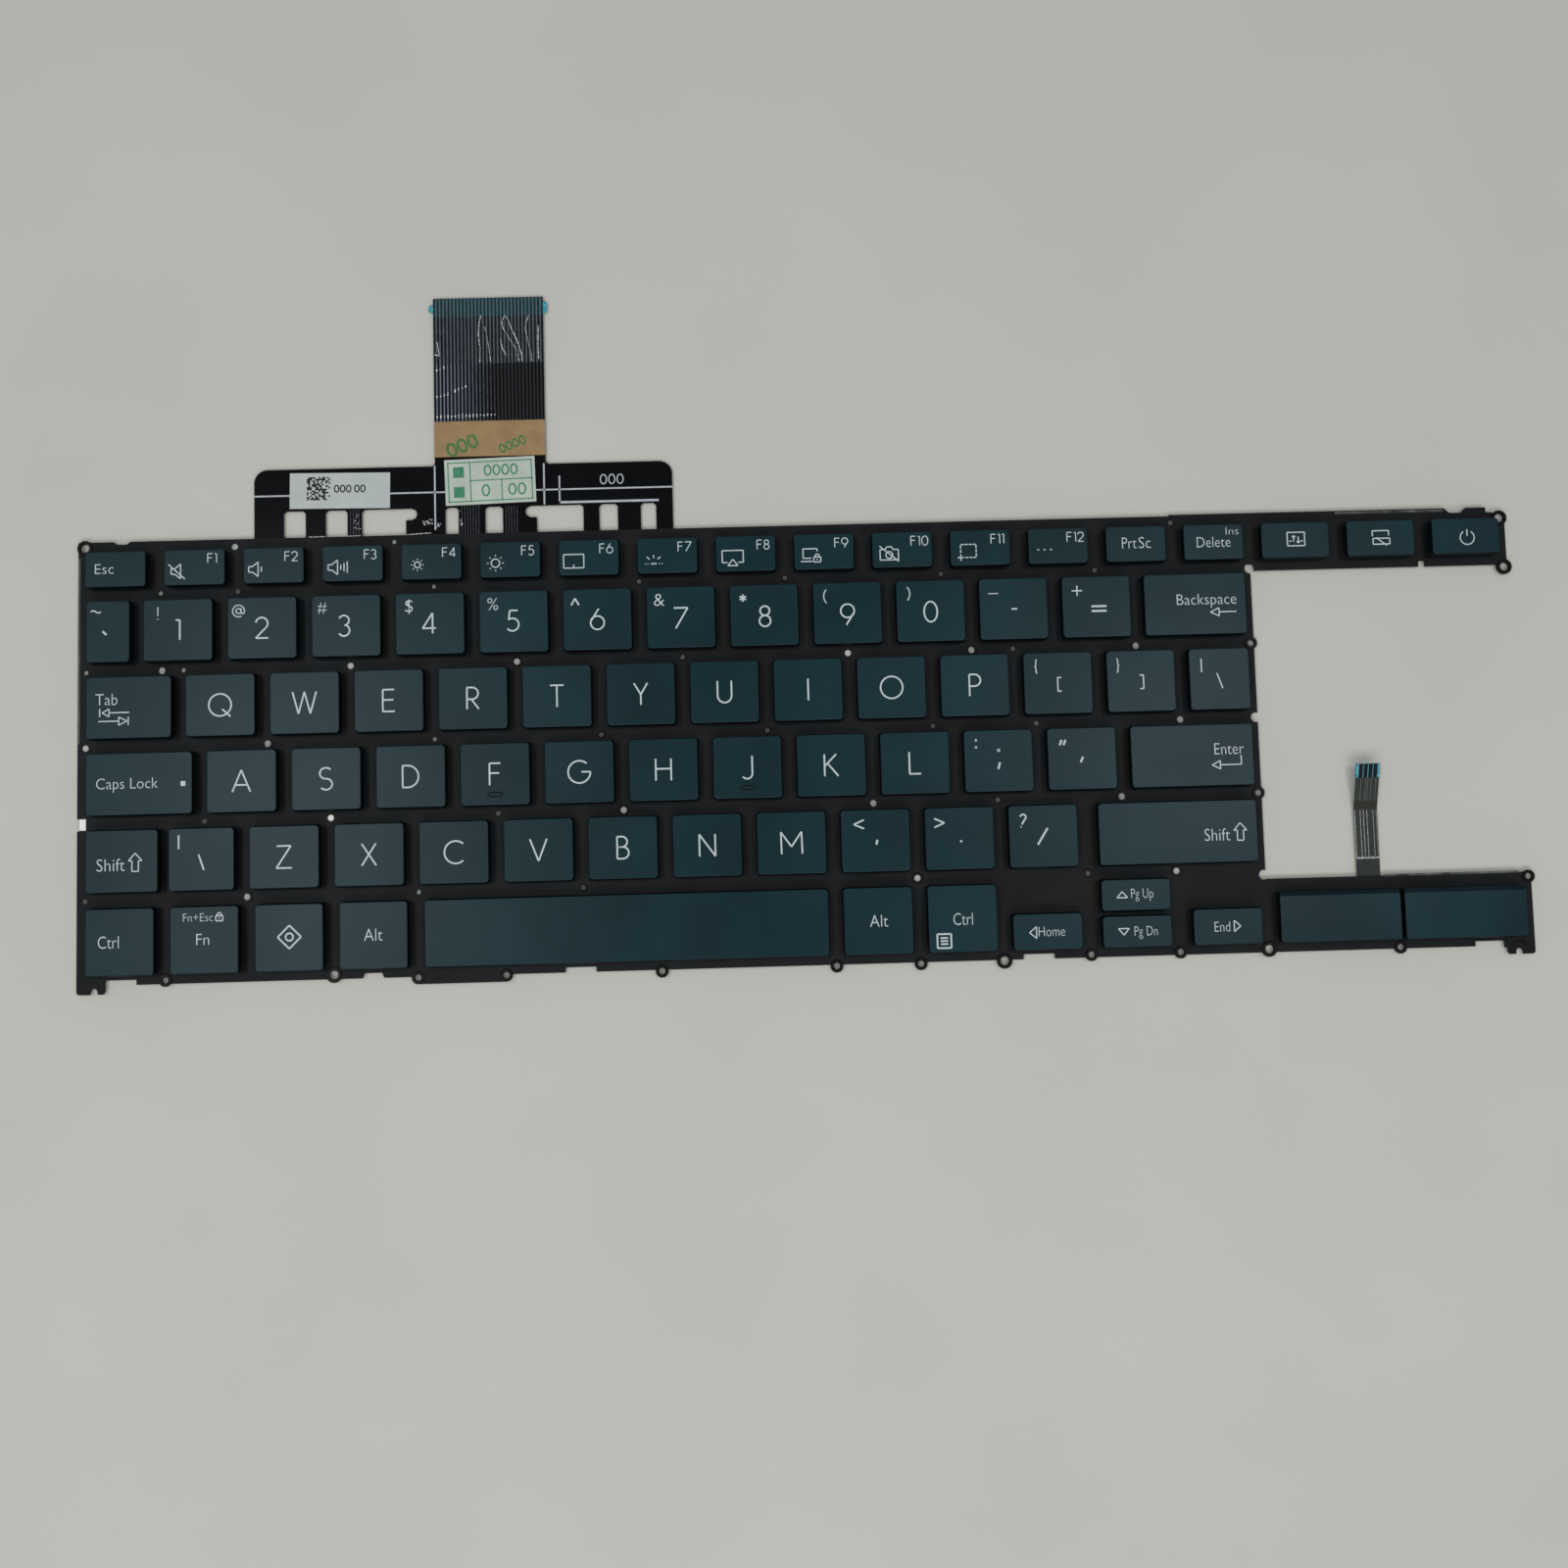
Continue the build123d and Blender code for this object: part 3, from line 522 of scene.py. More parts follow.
def word_mesh(text, x, y, height, width, ink=INK_HEIGHT):
    """A word in the built-in font: its middle, its capitals' height and its whole width."""
    curve = bpy.data.curves.new("word", "FONT")
    curve.body = text
    curve.size = height / FONT_CAP_HEIGHT
    curve.resolution_u = 3
    curve.offset = -WORD_THINNING
    curve.extrude = ink
    bm = curve_mesh(curve)
    left, right = span(bm, 0)
    bmesh.ops.translate(bm, vec=(-(left + right) / 2, -height / 2, 0.0), verts=bm.verts)
    bmesh.ops.scale(bm, vec=(width / (right - left), 1.0, 1.0), verts=bm.verts)
    bmesh.ops.translate(bm, vec=(x, y, 0.0), verts=bm.verts)
    return bm


# Key caps


def cap_mesh(low, high, slope=None):
    """A cap with leaning sides, round corners, a softened top edge and a pocket below."""
    bm = start_box(low, high)
    middle = (low + high) / 2
    extent = high - low
    top = [vert for vert in bm.verts if vert.co.z > middle.z]
    narrow = ((extent.x - 2 * CAP_LEAN) / extent.x, (extent.y - 2 * CAP_LEAN) / extent.y, 1.0)
    bmesh.ops.scale(bm, vec=narrow, verts=top, space=Matrix.Translation(-middle))
    upright = [edge for edge in bm.edges if abs(edge.verts[0].co.z - edge.verts[1].co.z) > 0.5]
    bevel(bm, upright, CAP_CORNER, 5)
    if slope:
        run, drop = slope
        everything = bm.verts[:] + bm.edges[:] + bm.faces[:]
        start = (middle.x, high.y - CAP_LEAN - run, high.z)
        way = (0, drop, run)
        bmesh.ops.bisect_plane(bm, geom=everything, plane_co=start, plane_no=way, clear_outer=True)
        bmesh.ops.holes_fill(bm, edges=[edge for edge in bm.edges if edge.is_boundary])
    bmesh.ops.recalc_face_normals(bm, faces=bm.faces)
    tops = {face for face in bm.faces if face.normal.z > 0.8}
    bevel(bm, [edge for edge in bm.edges if tops & set(edge.link_faces)], CAP_EDGE, 2)
    floor = [face for face in bm.faces if face.normal.z < -0.9]
    bmesh.ops.inset_region(bm, faces=floor, thickness=CAP_WALL)
    pocket = bmesh.ops.extrude_face_region(bm, geom=floor)["geom"]
    ceiling = [item for item in pocket if isinstance(item, bmesh.types.BMVert)]
    bmesh.ops.translate(bm, vec=(0, 0, POCKET_DEPTH), verts=ceiling)
    bmesh.ops.delete(bm, geom=[face for face in floor if face.is_valid], context="FACES_ONLY")
    return bm


def mark_walls(bm):
    """Give the walls and pockets of caps the second material, their painted shade."""
    bmesh.ops.recalc_face_normals(bm, faces=bm.faces)
    for face in bm.faces:
        face.material_index = int(face.normal.z < WALL_SLOPE)


def add_homing_bar(bm, low, high):
    """Add the small round-ended bar that a finger finds, with a flat dark ring round it as painted shade."""
    length, width, height = HOMING_BAR
    x = (low.x + high.x) / 2
    y = low.y + HOMING_BAR_FROM_EDGE
    bar = start_box(
        (x - length / 2, y - width / 2, KEY_TOP - 0.1), (x + length / 2, y + width / 2, KEY_TOP + height)
    )
    upright = [edge for edge in bar.edges if abs(edge.verts[0].co.z - edge.verts[1].co.z) > 0.1]
    bevel(bar, upright, width * 0.48, 4)
    bevel(bar, [edge for edge in bar.edges if min(vert.co.z for vert in edge.verts) > KEY_TOP], 0.1, 2)
    join(bm, bar)
    # A flat ring in the walls' painted shade stands for the shade round the bar
    end = length / 2 - width / 2
    side = width / 2 + HOMING_SHADE_OUTLINE / 2
    pill = arc(end, 0.0, side, -90, 90) + arc(-end, 0.0, side, 90, 270)
    shade_outline = strokes_mesh([pill + pill[:1]], HOMING_SHADE_OUTLINE)
    bmesh.ops.translate(shade_outline, vec=(x, y, KEY_TOP), verts=shade_outline.verts)
    join(bm, shade_outline, 1)


def add_link(bm, place, width, lean):
    """Add one leaning link: two legs, a bar at the low end and a pin stub on each leg."""
    link = bmesh.new()
    half = LINK_LENGTH / 2
    thick = LINK_THICKNESS / 2
    side = width / 2
    for left, right, low, high in [
        (-side, -side + LINK_BAR, -half, half),
        (side - LINK_BAR, side, -half, half),
        (-side + LINK_BAR, side - LINK_BAR, -half, -half + LINK_BAR),
    ]:
        part = start_box((left, low, -thick), (right, high, thick))
        bevel(part, part.edges[:], LINK_EDGE, 1)
        join(link, part)
    for x in (-side + LINK_BAR / 2, side - LINK_BAR / 2):
        stub = Matrix.Translation((x, half - LINK_PIN_FROM_END, 0.0)) @ Matrix.Rotation(math.pi / 2, 4, "Y")
        bmesh.ops.create_cone(
            link, cap_ends=True, segments=LINK_PIN_SIDES, radius1=LINK_PIN, radius2=LINK_PIN,
            depth=LINK_BAR + LINK_PIN_REACH, matrix=stub,
        )
    tilt = math.asin(LINK_RISE / LINK_LENGTH)
    turn = Matrix.Rotation(tilt, 4, "X")
    if lean < 0:
        turn = Matrix.Rotation(-tilt, 4, "X") @ Matrix.Rotation(math.pi, 4, "Z")
    move = Matrix.Translation(place + Vector((0.0, 0.0, PLATE_TOP + LINK_MIDDLE)))
    bmesh.ops.transform(link, matrix=move @ turn, verts=link.verts)
    join(bm, link, 1)


def solid_boxes(node):
    """Lowest and highest corner of each separate solid in a CAD node, in millimetres."""
    bm = bmesh.new()
    bm.from_mesh(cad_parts[node].data)
    bmesh.ops.remove_doubles(bm, verts=bm.verts, dist=1e-6)
    waiting = set(bm.verts)
    boxes = []
    while waiting:
        ends = [waiting.pop()]
        places = []
        while ends:
            vert = ends.pop()
            places.append(vert.co / MM)
            near = {edge.other_vert(vert) for edge in vert.link_edges} & waiting
            waiting -= near
            ends.extend(near)
        low = Vector([min(place[axis] for place in places) for axis in range(3)])
        high = Vector([max(place[axis] for place in places) for axis in range(3)])
        boxes.append((low, high))
    bm.free()
    return boxes


# Legends: strokes in a thin geometric hand, words in the built-in font


def arc(x, y, radius, start, end, tall=1.0, steps=16):
    """Points along an arc, in degrees, stretched upwards by a factor."""
    turns = [math.radians(start + (end - start) * i / steps) for i in range(steps + 1)]
    return [(x + radius * math.cos(turn), y + tall * radius * math.sin(turn)) for turn in turns]


def ring(x, y, radius, tall=1.0):
    """Points round a whole circle or oval."""
    return arc(x, y, radius, 90, 450, tall, 24)


def runs(*points):
    """Straight strokes from point to point, cut at each corner so that corners keep their weight."""
    return [list(pair) for pair in zip(points, points[1:])]


def frame_box(left, low, right, high):
    """The four sides of an upright rectangle."""
    return runs((left, low), (right, low), (right, high), (left, high), (left, low))


def dot(x, y, radius=0.09):
    """A small filled dot."""
    return runs((x - radius, y), (x + radius, y))


def dots(places, y, radius=0.09):
    """Small filled dots along a row."""
    return [stroke for x in places for stroke in dot(x, y, radius)]


P_BOWL = [(0, 1), (0.24, 1), *arc(0.24, 0.73, 0.27, 90, -90), (0, 0.46)]
GLYPHS = {
    "A": runs((0, 0), (0.41, 1), (0.82, 0)) + runs((0.13, 0.32), (0.69, 0.32)),
    "B": runs((0, 0), (0, 1)) + [
        [(0, 1), (0.22, 1), *arc(0.22, 0.765, 0.235, 90, -90), (0, 0.53)],
        [(0, 0.53), (0.26, 0.53), *arc(0.26, 0.265, 0.265, 90, -90), (0, 0)],
    ],
    "C": [arc(0.5, 0.5, 0.51, 48, 312, steps=24)],
    "D": runs((0, 0), (0, 1)) + [[(0, 1), (0.22, 1), *arc(0.22, 0.5, 0.5, 90, -90), (0, 0)]],
    "E": runs((0.52, 1), (0, 1), (0, 0), (0.54, 0)) + runs((0, 0.53), (0.48, 0.53)),
    "F": runs((0.5, 1), (0, 1), (0, 0)) + runs((0, 0.55), (0.44, 0.55)),
    "G": [arc(0.5, 0.5, 0.51, 48, 360, steps=26)] + runs((1.01, 0.5), (0.6, 0.5)),
    "H": runs((0, 0), (0, 1)) + runs((0.7, 0), (0.7, 1)) + runs((0, 0.54), (0.7, 0.54)),
    "I": runs((0, 0), (0, 1)),
    "J": [[(0.5, 1.02), (0.5, 0.22), *arc(0.26, 0.22, 0.24, 0, -145)]],
    "K": runs((0, 0), (0, 1)) + runs((0.54, 1), (0.03, 0.48)) + runs((0.14, 0.58), (0.62, 0)),
    "L": runs((0, 1), (0, 0), (0.52, 0)),
    "M": runs((0.02, 0), (0, 1), (0.47, 0.33), (0.94, 1), (0.96, 0)),
    "N": runs((0, 0), (0, 1), (0.72, 0), (0.72, 1)),
    "O": [ring(0.5, 0.5, 0.51)],
    "P": runs((0, 0), (0, 1)) + [P_BOWL],
    "Q": [ring(0.5, 0.5, 0.51)] + runs((0.6, 0.3), (0.98, -0.04)),
    "R": runs((0, 0), (0, 1)) + [P_BOWL] + runs((0.2, 0.46), (0.54, 0)),
    "S": [arc(0.29, 0.745, 0.28, 42, 270, 0.9) + arc(0.29, 0.25, 0.28, 90, -140, 0.9)],
    "T": runs((0, 1), (0.62, 1)) + runs((0.31, 1), (0.31, 0)),
    "U": [[(0, 1), (0, 0.32), *arc(0.32, 0.32, 0.32, 180, 360), (0.64, 1)]],
    "V": runs((0, 1), (0.385, 0), (0.77, 1)),
    "W": runs((0, 1), (0.27, 0), (0.54, 1), (0.81, 0), (1.08, 1)),
    "X": runs((0, 1), (0.66, 0)) + runs((0, 0), (0.64, 1)),
    "Y": runs((0, 1), (0.31, 0.48), (0.62, 1)) + runs((0.31, 0.48), (0.31, 0)),
    "Z": runs((0.02, 1), (0.66, 1), (0, 0), (0.7, 0)),
    "0": [ring(0.32, 0.5, 0.32, 1.56)],
    "1": runs((0, 0.97), (0.2, 0.97), (0.2, 0)),
    "2": [arc(0.29, 0.71, 0.29, 170, -38) + [(0.0, 0.0)]] + runs((0, 0), (0.6, 0)),
    "3": [arc(0.25, 0.755, 0.245, 155, -80) + arc(0.25, 0.265, 0.27, 80, -150)],
    "4": runs((0.48, 0), (0.48, 1), (0, 0.26), (0.64, 0.26)),
    "5": runs((0.52, 1), (0.14, 1), (0.08, 0.56)) + [arc(0.26, 0.31, 0.31, 128, -142)],
    "6": [ring(0.33, 0.33, 0.33)] + runs((0.05, 0.47), (0.4, 1.02)),
    "7": runs((0, 1), (0.68, 1), (0.08, 0)),
    "8": [ring(0.27, 0.765, 0.23), ring(0.27, 0.265, 0.27)],
    "9": [ring(0.33, 0.67, 0.33)] + runs((0.61, 0.53), (0.26, -0.02)),
}
LETTER_SPACE = 0.24


def drawn(text, x, y, height, weight=LETTER_WEIGHT):
    """Strokes of letters or digits, their middle and height in millimetres, with a line weight."""
    strokes = []
    pen = 0.0
    for character in text:
        glyph = GLYPHS[character]
        edges = [point[0] for stroke in glyph for point in stroke]
        strokes += [[(px + pen - min(edges), py) for px, py in stroke] for stroke in glyph]
        pen += max(edges) - min(edges) + LETTER_SPACE
    shift = (pen - LETTER_SPACE) / 2
    placed = []
    for stroke in strokes:
        placed.append([(x + (px - shift) * height, y + (py - 0.5) * height) for px, py in stroke])
    return ("strokes", weight, placed)


def lines(x, y, strokes, weight=SYMBOL_WEIGHT):
    """Strokes given in millimetres round a place on the cap."""
    return ("strokes", weight, [[(x + px, y + py) for px, py in stroke] for stroke in strokes])


def icon(x, y, strokes):
    """Strokes of the icons' weight round a place on the cap."""
    return lines(x, y, strokes, ICON_WEIGHT)


def word(text, x, y, height, width):
    """A word in the built-in font by its middle, capital height and width."""
    return ("word", (text, x, y, height, width), None)


def brace(side):
    """A curly brace 3.1 high whose point is towards a side."""
    upper = [(-0.25, 1.55), (-0.08, 1.4), (0.0, 1.1), (0.0, 0.45), (0.08, 0.15), (0.25, 0.0)]
    upper = [(px * side, py) for px, py in upper]
    return [upper, [(px, -py) for px, py in upper]]


def fork_arrow(width, height):
    """The outline of a broad arrow that points up."""
    half = width / 2
    stem = width * 0.24
    neck = height * 0.08
    low = -height / 2
    high = height / 2
    return runs(
        (-stem, low), (stem, low), (stem, neck), (half, neck), (0, high),
        (-half, neck), (-stem, neck), (-stem, low),
    )


def triangle(width, height, turn):
    """A triangle outline that points to a turn in degrees from +X."""
    corners = [(height / 2, 0), (-height / 2, width / 2), (-height / 2, -width / 2), (height / 2, 0)]
    way = Matrix.Rotation(math.radians(turn), 2)
    return runs(*[tuple(way @ Vector(corner)) for corner in corners])


def speaker(bars):
    """A loudspeaker outline with growing upright bars beside it."""
    body = runs(
        (-1.3, -0.6), (-1.3, 0.6), (-0.5, 0.6), (0.75, 1.6), (0.75, -1.6), (-0.5, -0.6), (-1.3, -0.6)
    )
    reach = [(0.75 + 0.7 * i, 0.2 + 0.35 * i) for i in range(1, bars + 1)]
    return body + [[(x, -half), (x, half)] for x, half in reach]


def sun(radius, inner, outer):
    """A ring with eight rays."""
    rays = []
    for i in range(8):
        way = math.radians(45 * i)
        rays.append([(reach * math.cos(way), reach * math.sin(way)) for reach in (inner, outer)])
    return [ring(0, 0, radius)] + rays


def dashes(start, end, count, share=0.6):
    """A broken line of short strokes."""
    start = Vector(start)
    step = (Vector(end) - start) / count
    gap = (1 - share) / 2
    return [[tuple(start + step * (i + gap)), tuple(start + step * (i + 1 - gap))] for i in range(count)]


def padlock(x, y):
    """A small closed lock."""
    body = frame_box(x - 0.75, y - 0.85, x + 0.75, y + 0.25)
    return body + [arc(x, y + 0.25, 0.5, 0, 180, 1.3, 8)] + runs((x, y - 0.45), (x, y - 0.15))


def left_arrow_head(x, y, length, half):
    """The outline of an arrow head that points left from a place on its base."""
    return runs((x, y + half), (x - length, y), (x, y - half), (x, y + half))


LETTERS = "abcdefghijklmnopqrstuvwxyz"
LEGENDS = {letter: [drawn(letter.upper(), 0.0, 0.0, LETTER_HEIGHT)] for letter in LETTERS}
DIGIT_PLACES = {
    "1": (0.0, 0.05), "2": (0.0, 0.0), "3": (-0.37, 0.0), "4": (-0.15, 0.05), "5": (-0.15, 0.15),
    "6": (0.0, 0.0), "7": (0.0, -0.2), "8": (0.13, -0.25), "9": (0.0, -0.3), "0": (0.0, -0.2),
}
LEGENDS |= {digit: [drawn(digit, *place, DIGIT_HEIGHT)] for digit, place in DIGIT_PLACES.items()}
AT_SIGN = [
    ring(0, 0, 0.55),
    [(0.57, 0.57), (0.57, -0.28), *arc(0.9, -0.28, 0.33, 180, 330), *arc(0, 0, 1.29, -5, 300)],
]
STAR = [arc(0, 0, 0.8, 30 + 60 * i, 210 + 60 * i, steps=1) for i in range(3)]
UPPER_SIGNS = {
    "1": lines(-4.3, 3.7, runs((0, 1.4), (0, -0.55)) + dot(0, -1.25, 0.12), FUNCTION_WEIGHT),
    "2": icon(-5.05, 3.8, AT_SIGN),
    "3": word("#", -5.15, 4.2, 2.5, 1.95),
    "4": word("$", -4.5, 4.0, 2.75, 1.65),
    "5": word("%", -4.5, 3.9, 2.7, 2.35),
    "6": lines(-4.8, 3.95, runs((-0.85, -0.75), (0, 0.75), (0.85, -0.75)), LETTER_WEIGHT),
    "7": word("&", -4.7, 3.95, 2.75, 2.3),
    "8": lines(-4.6, 3.85, STAR, LETTER_WEIGHT),
    "9": icon(-4.9, 3.75, [arc(2.0, 0, 2.2, 138, 222)]),
    "0": icon(-4.65, 3.9, [arc(-2.0, 0, 2.2, 42, -42)]),
}
for digit, sign in UPPER_SIGNS.items():
    LEGENDS[digit].append(sign)
WAVE = [(-1.1 + 0.11 * i, 0.25 * math.sin(math.pi * i / 10)) for i in range(21)]
LEGENDS |= {
    "grave": [lines(-2.6, 4.4, [WAVE]), lines(0.02, 0, runs((-1.15, 0.1), (-0.3, -0.7)), BOLD_WEIGHT)],
    "minus": [
        lines(-4.35, 3.45, runs((-1.1, 0), (1.1, 0)), FUNCTION_WEIGHT),
        lines(0.15, -0.05, runs((-0.62, 0), (0.62, 0)), LETTER_WEIGHT),
    ],
    "equals": [
        lines(-4.15, 3.6, runs((-1.15, 0), (1.15, 0)) + runs((0, -1.15), (0, 1.15))),
        lines(0.55, -0.45, [[(-1.65, y), (1.65, y)] for y in (0.52, -0.52)], BOLD_WEIGHT),
    ],
    "bracket_open": [
        icon(-4.75, 3.75, brace(-1)),
        lines(0.3, -0.3, runs((0.4, 1.5), (-0.4, 1.5), (-0.4, -1.5), (0.4, -1.5))),
    ],
    "bracket_close": [
        icon(-5.0, 3.5, brace(1)),
        lines(0.1, -0.2, runs((-0.4, 1.5), (0.4, 1.5), (0.4, -1.5), (-0.4, -1.5))),
    ],
    "backslash": [
        lines(-3.92, 3.05, runs((0, 1.5), (0, -1.5))),
        lines(0.12, 0, runs((-0.7, 1.3), (0.45, -2.05))),
    ],
    "semicolon": [
        lines(-4.8, 3.8, [ring(0, 0.78, 0.17), ring(-0.05, -0.78, 0.17)], 0.18),
        lines(0.05, 2.25, [ring(0, 0, 0.24)], 0.2),
        lines(0.1, 0, runs((0.15, -0.4), (-0.25, -1.85)), BOLD_WEIGHT),
    ],
    "quote": [
        lines(-4.25, 3.55, runs((-0.1, 0.6), (-0.55, -0.55)) + runs((0.75, 0.6), (0.3, -0.55)), BOLD_WEIGHT),
        lines(0, 0, runs((0.2, 0.35), (-0.35, -0.85)), BOLD_WEIGHT),
    ],
    "slash_left": [
        lines(-4.8, 3.8, runs((0, 1.5), (0, -1.5)), LETTER_WEIGHT),
        lines(-0.05, 0.15, runs((-0.5, 0.9), (0.65, -2.45)), LETTER_WEIGHT),
    ],
    "comma": [
        lines(-3.55, 3.6, runs((1.1, 0.95), (-1.1, 0), (1.1, -0.95)), LETTER_WEIGHT),
        lines(0.25, -0.35, runs((0.1, 0.5), (-0.12, -0.5)), BOLD_WEIGHT),
    ],
    "period": [
        lines(-4.3, 3.45, runs((-1.1, 0.95), (1.1, 0), (-1.1, -0.95)), LETTER_WEIGHT),
        lines(0.3, -0.65, [ring(0, 0, 0.13)], 0.26),
    ],
    "slash": [
        lines(-4.4, 3.45, [arc(0.1, 0.72, 0.62, 165, -60) + [(-0.2, -0.8)]], LETTER_WEIGHT),
        lines(-4.4, 3.45, dot(-0.4, -1.35, 0.1), LETTER_WEIGHT),
        lines(0, 0.05, runs((0.95, 1.65), (-1.3, -1.9)), 0.42),
    ],
    "tab": [
        word("Tab", -4.72, 1.8, 2.5, 4.7),
        icon(
            -3.0, -1.1,
            runs((-3.17, 0.9), (-3.17, -0.9)) + runs((-1.16, 0), (3.2, 0))
            + left_arrow_head(-1.16, 0, 1.5, 0.85),
        ),
        icon(
            -3.0, -2.95,
            runs((2.96, 0.9), (2.96, -0.9)) + runs((-3.45, 0), (0.92, 0))
            + left_arrow_head(0.92, 0, -1.75, 0.9),
        ),
    ],
    "caps_lock": [
        word("Caps Lock", -2.52, 0.15, 2.35, 13.2),
        lines(9.5, -0.2, runs((-0.52, 0), (0.52, 0)), 1.04),
    ],
    "shift_left": [word("Shift", -2.27, -0.75, 2.65, 6.0), icon(2.95, -0.25, fork_arrow(2.9, 3.9))],
    "shift_right": [word("Shift", 8.45, -0.75, 2.65, 5.55), icon(13.5, -0.2, fork_arrow(2.8, 3.8))],
    "backspace": [
        word("Backspace", 2.5, 1.05, 2.4, 13.1),
        icon(6.1, -1.85, left_arrow_head(-0.95, 0, 1.9, 0.9) + runs((-0.95, 0), (2.85, 0))),
    ],
    "enter": [
        word("Enter", 8.05, 1.3, 2.5, 6.4),
        icon(
            7.4, -1.25,
            runs((3.2, 1.05), (3.2, -0.95), (-1.4, -0.95)) + left_arrow_head(-1.4, -0.95, 1.8, 0.9),
        ),
    ],
    "esc": [word("Esc", -2.35, 0.1, 2.2, 4.05)],
    "print_screen": [word("Prt", -1.45, 0.25, 2.5, 3.2), word("Sc", 1.95, 0.25, 2.5, 2.6)],
    "delete": [word("Delete", 0.0, 0.0, 2.35, 7.4), word("Ins", 4.2, 2.4, 1.7, 2.8)],
    "screen_swap": [
        icon(
            0.15, 0.2,
            frame_box(-1.92, -1.5, 1.92, 1.5)
            + runs((-0.5, -0.6), (-0.5, 0.8)) + runs((0.5, 0.5), (0.5, -0.9))
            + runs((-0.85, 0.4), (-0.5, 0.8), (-0.15, 0.4)) + runs((0.15, -0.5), (0.5, -0.9), (0.85, -0.5))
            + runs((-1.5, -0.45), (-1.0, -0.45)) + runs((1.0, -0.45), (1.5, -0.45)),
        ),
    ],
    "screen_off": [
        icon(
            0.2, 0.4,
            runs((-2.0, 0.0), (-2.0, 1.2), (1.6, 1.2), (1.6, 0.1)) + frame_box(-1.9, -1.8, 1.8, -0.5)
            + runs((-1.2, -0.35), (1.1, -2.1)),
        ),
    ],
    "power": [icon(0.3, -0.3, [arc(0, -0.1, 1.55, 122, 418, steps=24)] + runs((0, 0.3), (0, 1.75)))],
    "ctrl_left": [word("Ctrl", -2.33, 0.05, 2.65, 4.45)],
    "fn": [
        word("Fn+Esc", -1.3, 4.87, 1.8, 6.35),
        icon(3.24, 4.87, padlock(0, 0)),
        word("Fn", -0.3, 0.15, 2.45, 2.75),
    ],
    "system": [
        lines(
            0.1, 0.12,
            runs((0, 2.5), (2.5, 0), (0, -2.5), (-2.5, 0), (0, 2.5)) + [ring(0, 0, 0.8)],
            LETTER_WEIGHT,
        ),
    ],
    "alt_left": [word("Alt", -0.05, 0.12, 2.65, 3.95)],
    "alt_right": [word("Alt", 0.1, 0.02, 2.6, 3.9)],
    "ctrl_right": [
        word("Ctrl", 0.05, -0.1, 2.6, 4.2),
        lines(
            -4.15, -4.73,
            frame_box(-1.5, -1.5, 1.5, 1.5) + [[(-0.8, y), (0.8, y)] for y in (-0.65, 0.0, 0.65)],
            LETTER_WEIGHT,
        ),
    ],
    "arrow_left": [icon(-3.25, -0.15, triangle(2.5, 1.5, 180)), word("Home", 0.8, 0.05, 2.15, 5.7)],
    "arrow_up": [icon(-3.05, 0.07, triangle(2.3, 1.3, 90)), word("Pg Up", 1.3, 0.27, 2.1, 4.8)],
    "arrow_down": [icon(-3.0, -0.03, triangle(2.3, 1.4, -90)), word("Pg Dn", 1.8, 0.07, 2.1, 5.0)],
    "arrow_right": [word("End", -1.35, 0.0, 2.2, 3.35), icon(1.95, 0.05, triangle(2.4, 1.4, 0))],
}
FUNCTION_ICONS = {
    "f1": (-3.75, -0.95, speaker(0) + runs((-1.9, 1.6), (1.7, -1.7))),
    "f2": (-4.1, -0.9, speaker(1)),
    "f3": (-4.0, -0.9, speaker(3)),
    "f4": (-3.05, -0.8, sun(0.65, 1.1, 1.35)),
    "f5": (-3.2, -0.85, sun(0.92, 1.5, 1.8)),
    "f6": (-3.3, -0.85, frame_box(-2.2, -1.5, 2.2, 1.5) + runs((0, -1.5), (0, -0.75))),
    "f7": (
        -3.0, -0.95,
        runs((-0.65, -0.9), (0.65, -0.9)) + dots((-1.85, -1.3, 1.3, 1.85), -0.9)
        + runs((-1.5, 0.6), (-0.87, 0.1)) + runs((0, 0.35), (0, 1.0)) + runs((1.5, 0.6), (0.87, 0.1)),
    ),
    "f8": (
        -2.85, -1.0,
        runs((-1.2, -1.0), (-2.3, -1.0), (-2.3, 1.65), (2.3, 1.65), (2.3, -1.0), (1.2, -1.0))
        + runs((-1.1, -1.7), (0, -0.3), (1.1, -1.7), (-1.1, -1.7)),
    ),
    "f9": (
        -3.0, -0.9,
        runs((0.2, -0.6), (-1.6, -0.6), (-1.6, 1.5), (1.5, 1.5), (1.5, 0.9))
        + runs((-2.1, -1.3), (0.4, -1.3)) + padlock(1.5, -0.6),
    ),
    "f10": (
        -2.85, -0.9,
        runs(
            (-2.0, -1.4), (2.0, -1.4), (2.0, 0.9), (0.9, 0.9), (0.5, 1.5), (-0.5, 1.5), (-0.9, 0.9),
            (-2.0, 0.9), (-2.0, -1.4),
        ) + [ring(0, -0.3, 0.75)] + runs((-2.1, 1.7), (2.1, -1.8)),
    ),
    "f11": (
        -2.8, -0.9,
        dashes((-1.5, 1.6), (1.9, 1.6), 4, 0.75) + dashes((-0.6, -1.3), (1.9, -1.3), 3, 0.75)
        + dashes((-1.5, -0.4), (-1.5, 1.6), 2, 0.75) + dashes((1.9, -1.3), (1.9, 1.6), 3, 0.75)
        + runs((-2.2, -1.3), (-0.8, -1.3)) + runs((-1.5, -2.0), (-1.5, -0.6)),
    ),
    "f12": (-3.0, -0.9, dots((-1.4, 0, 1.4), 0, 0.2)),
}
for function_key, (x, y, strokes) in FUNCTION_ICONS.items():
    label = drawn(function_key.upper(), *FUNCTION_LABEL, FUNCTION_WEIGHT)
    LEGENDS[function_key] = [label, icon(x, y + ICON_RAISE, strokes)]


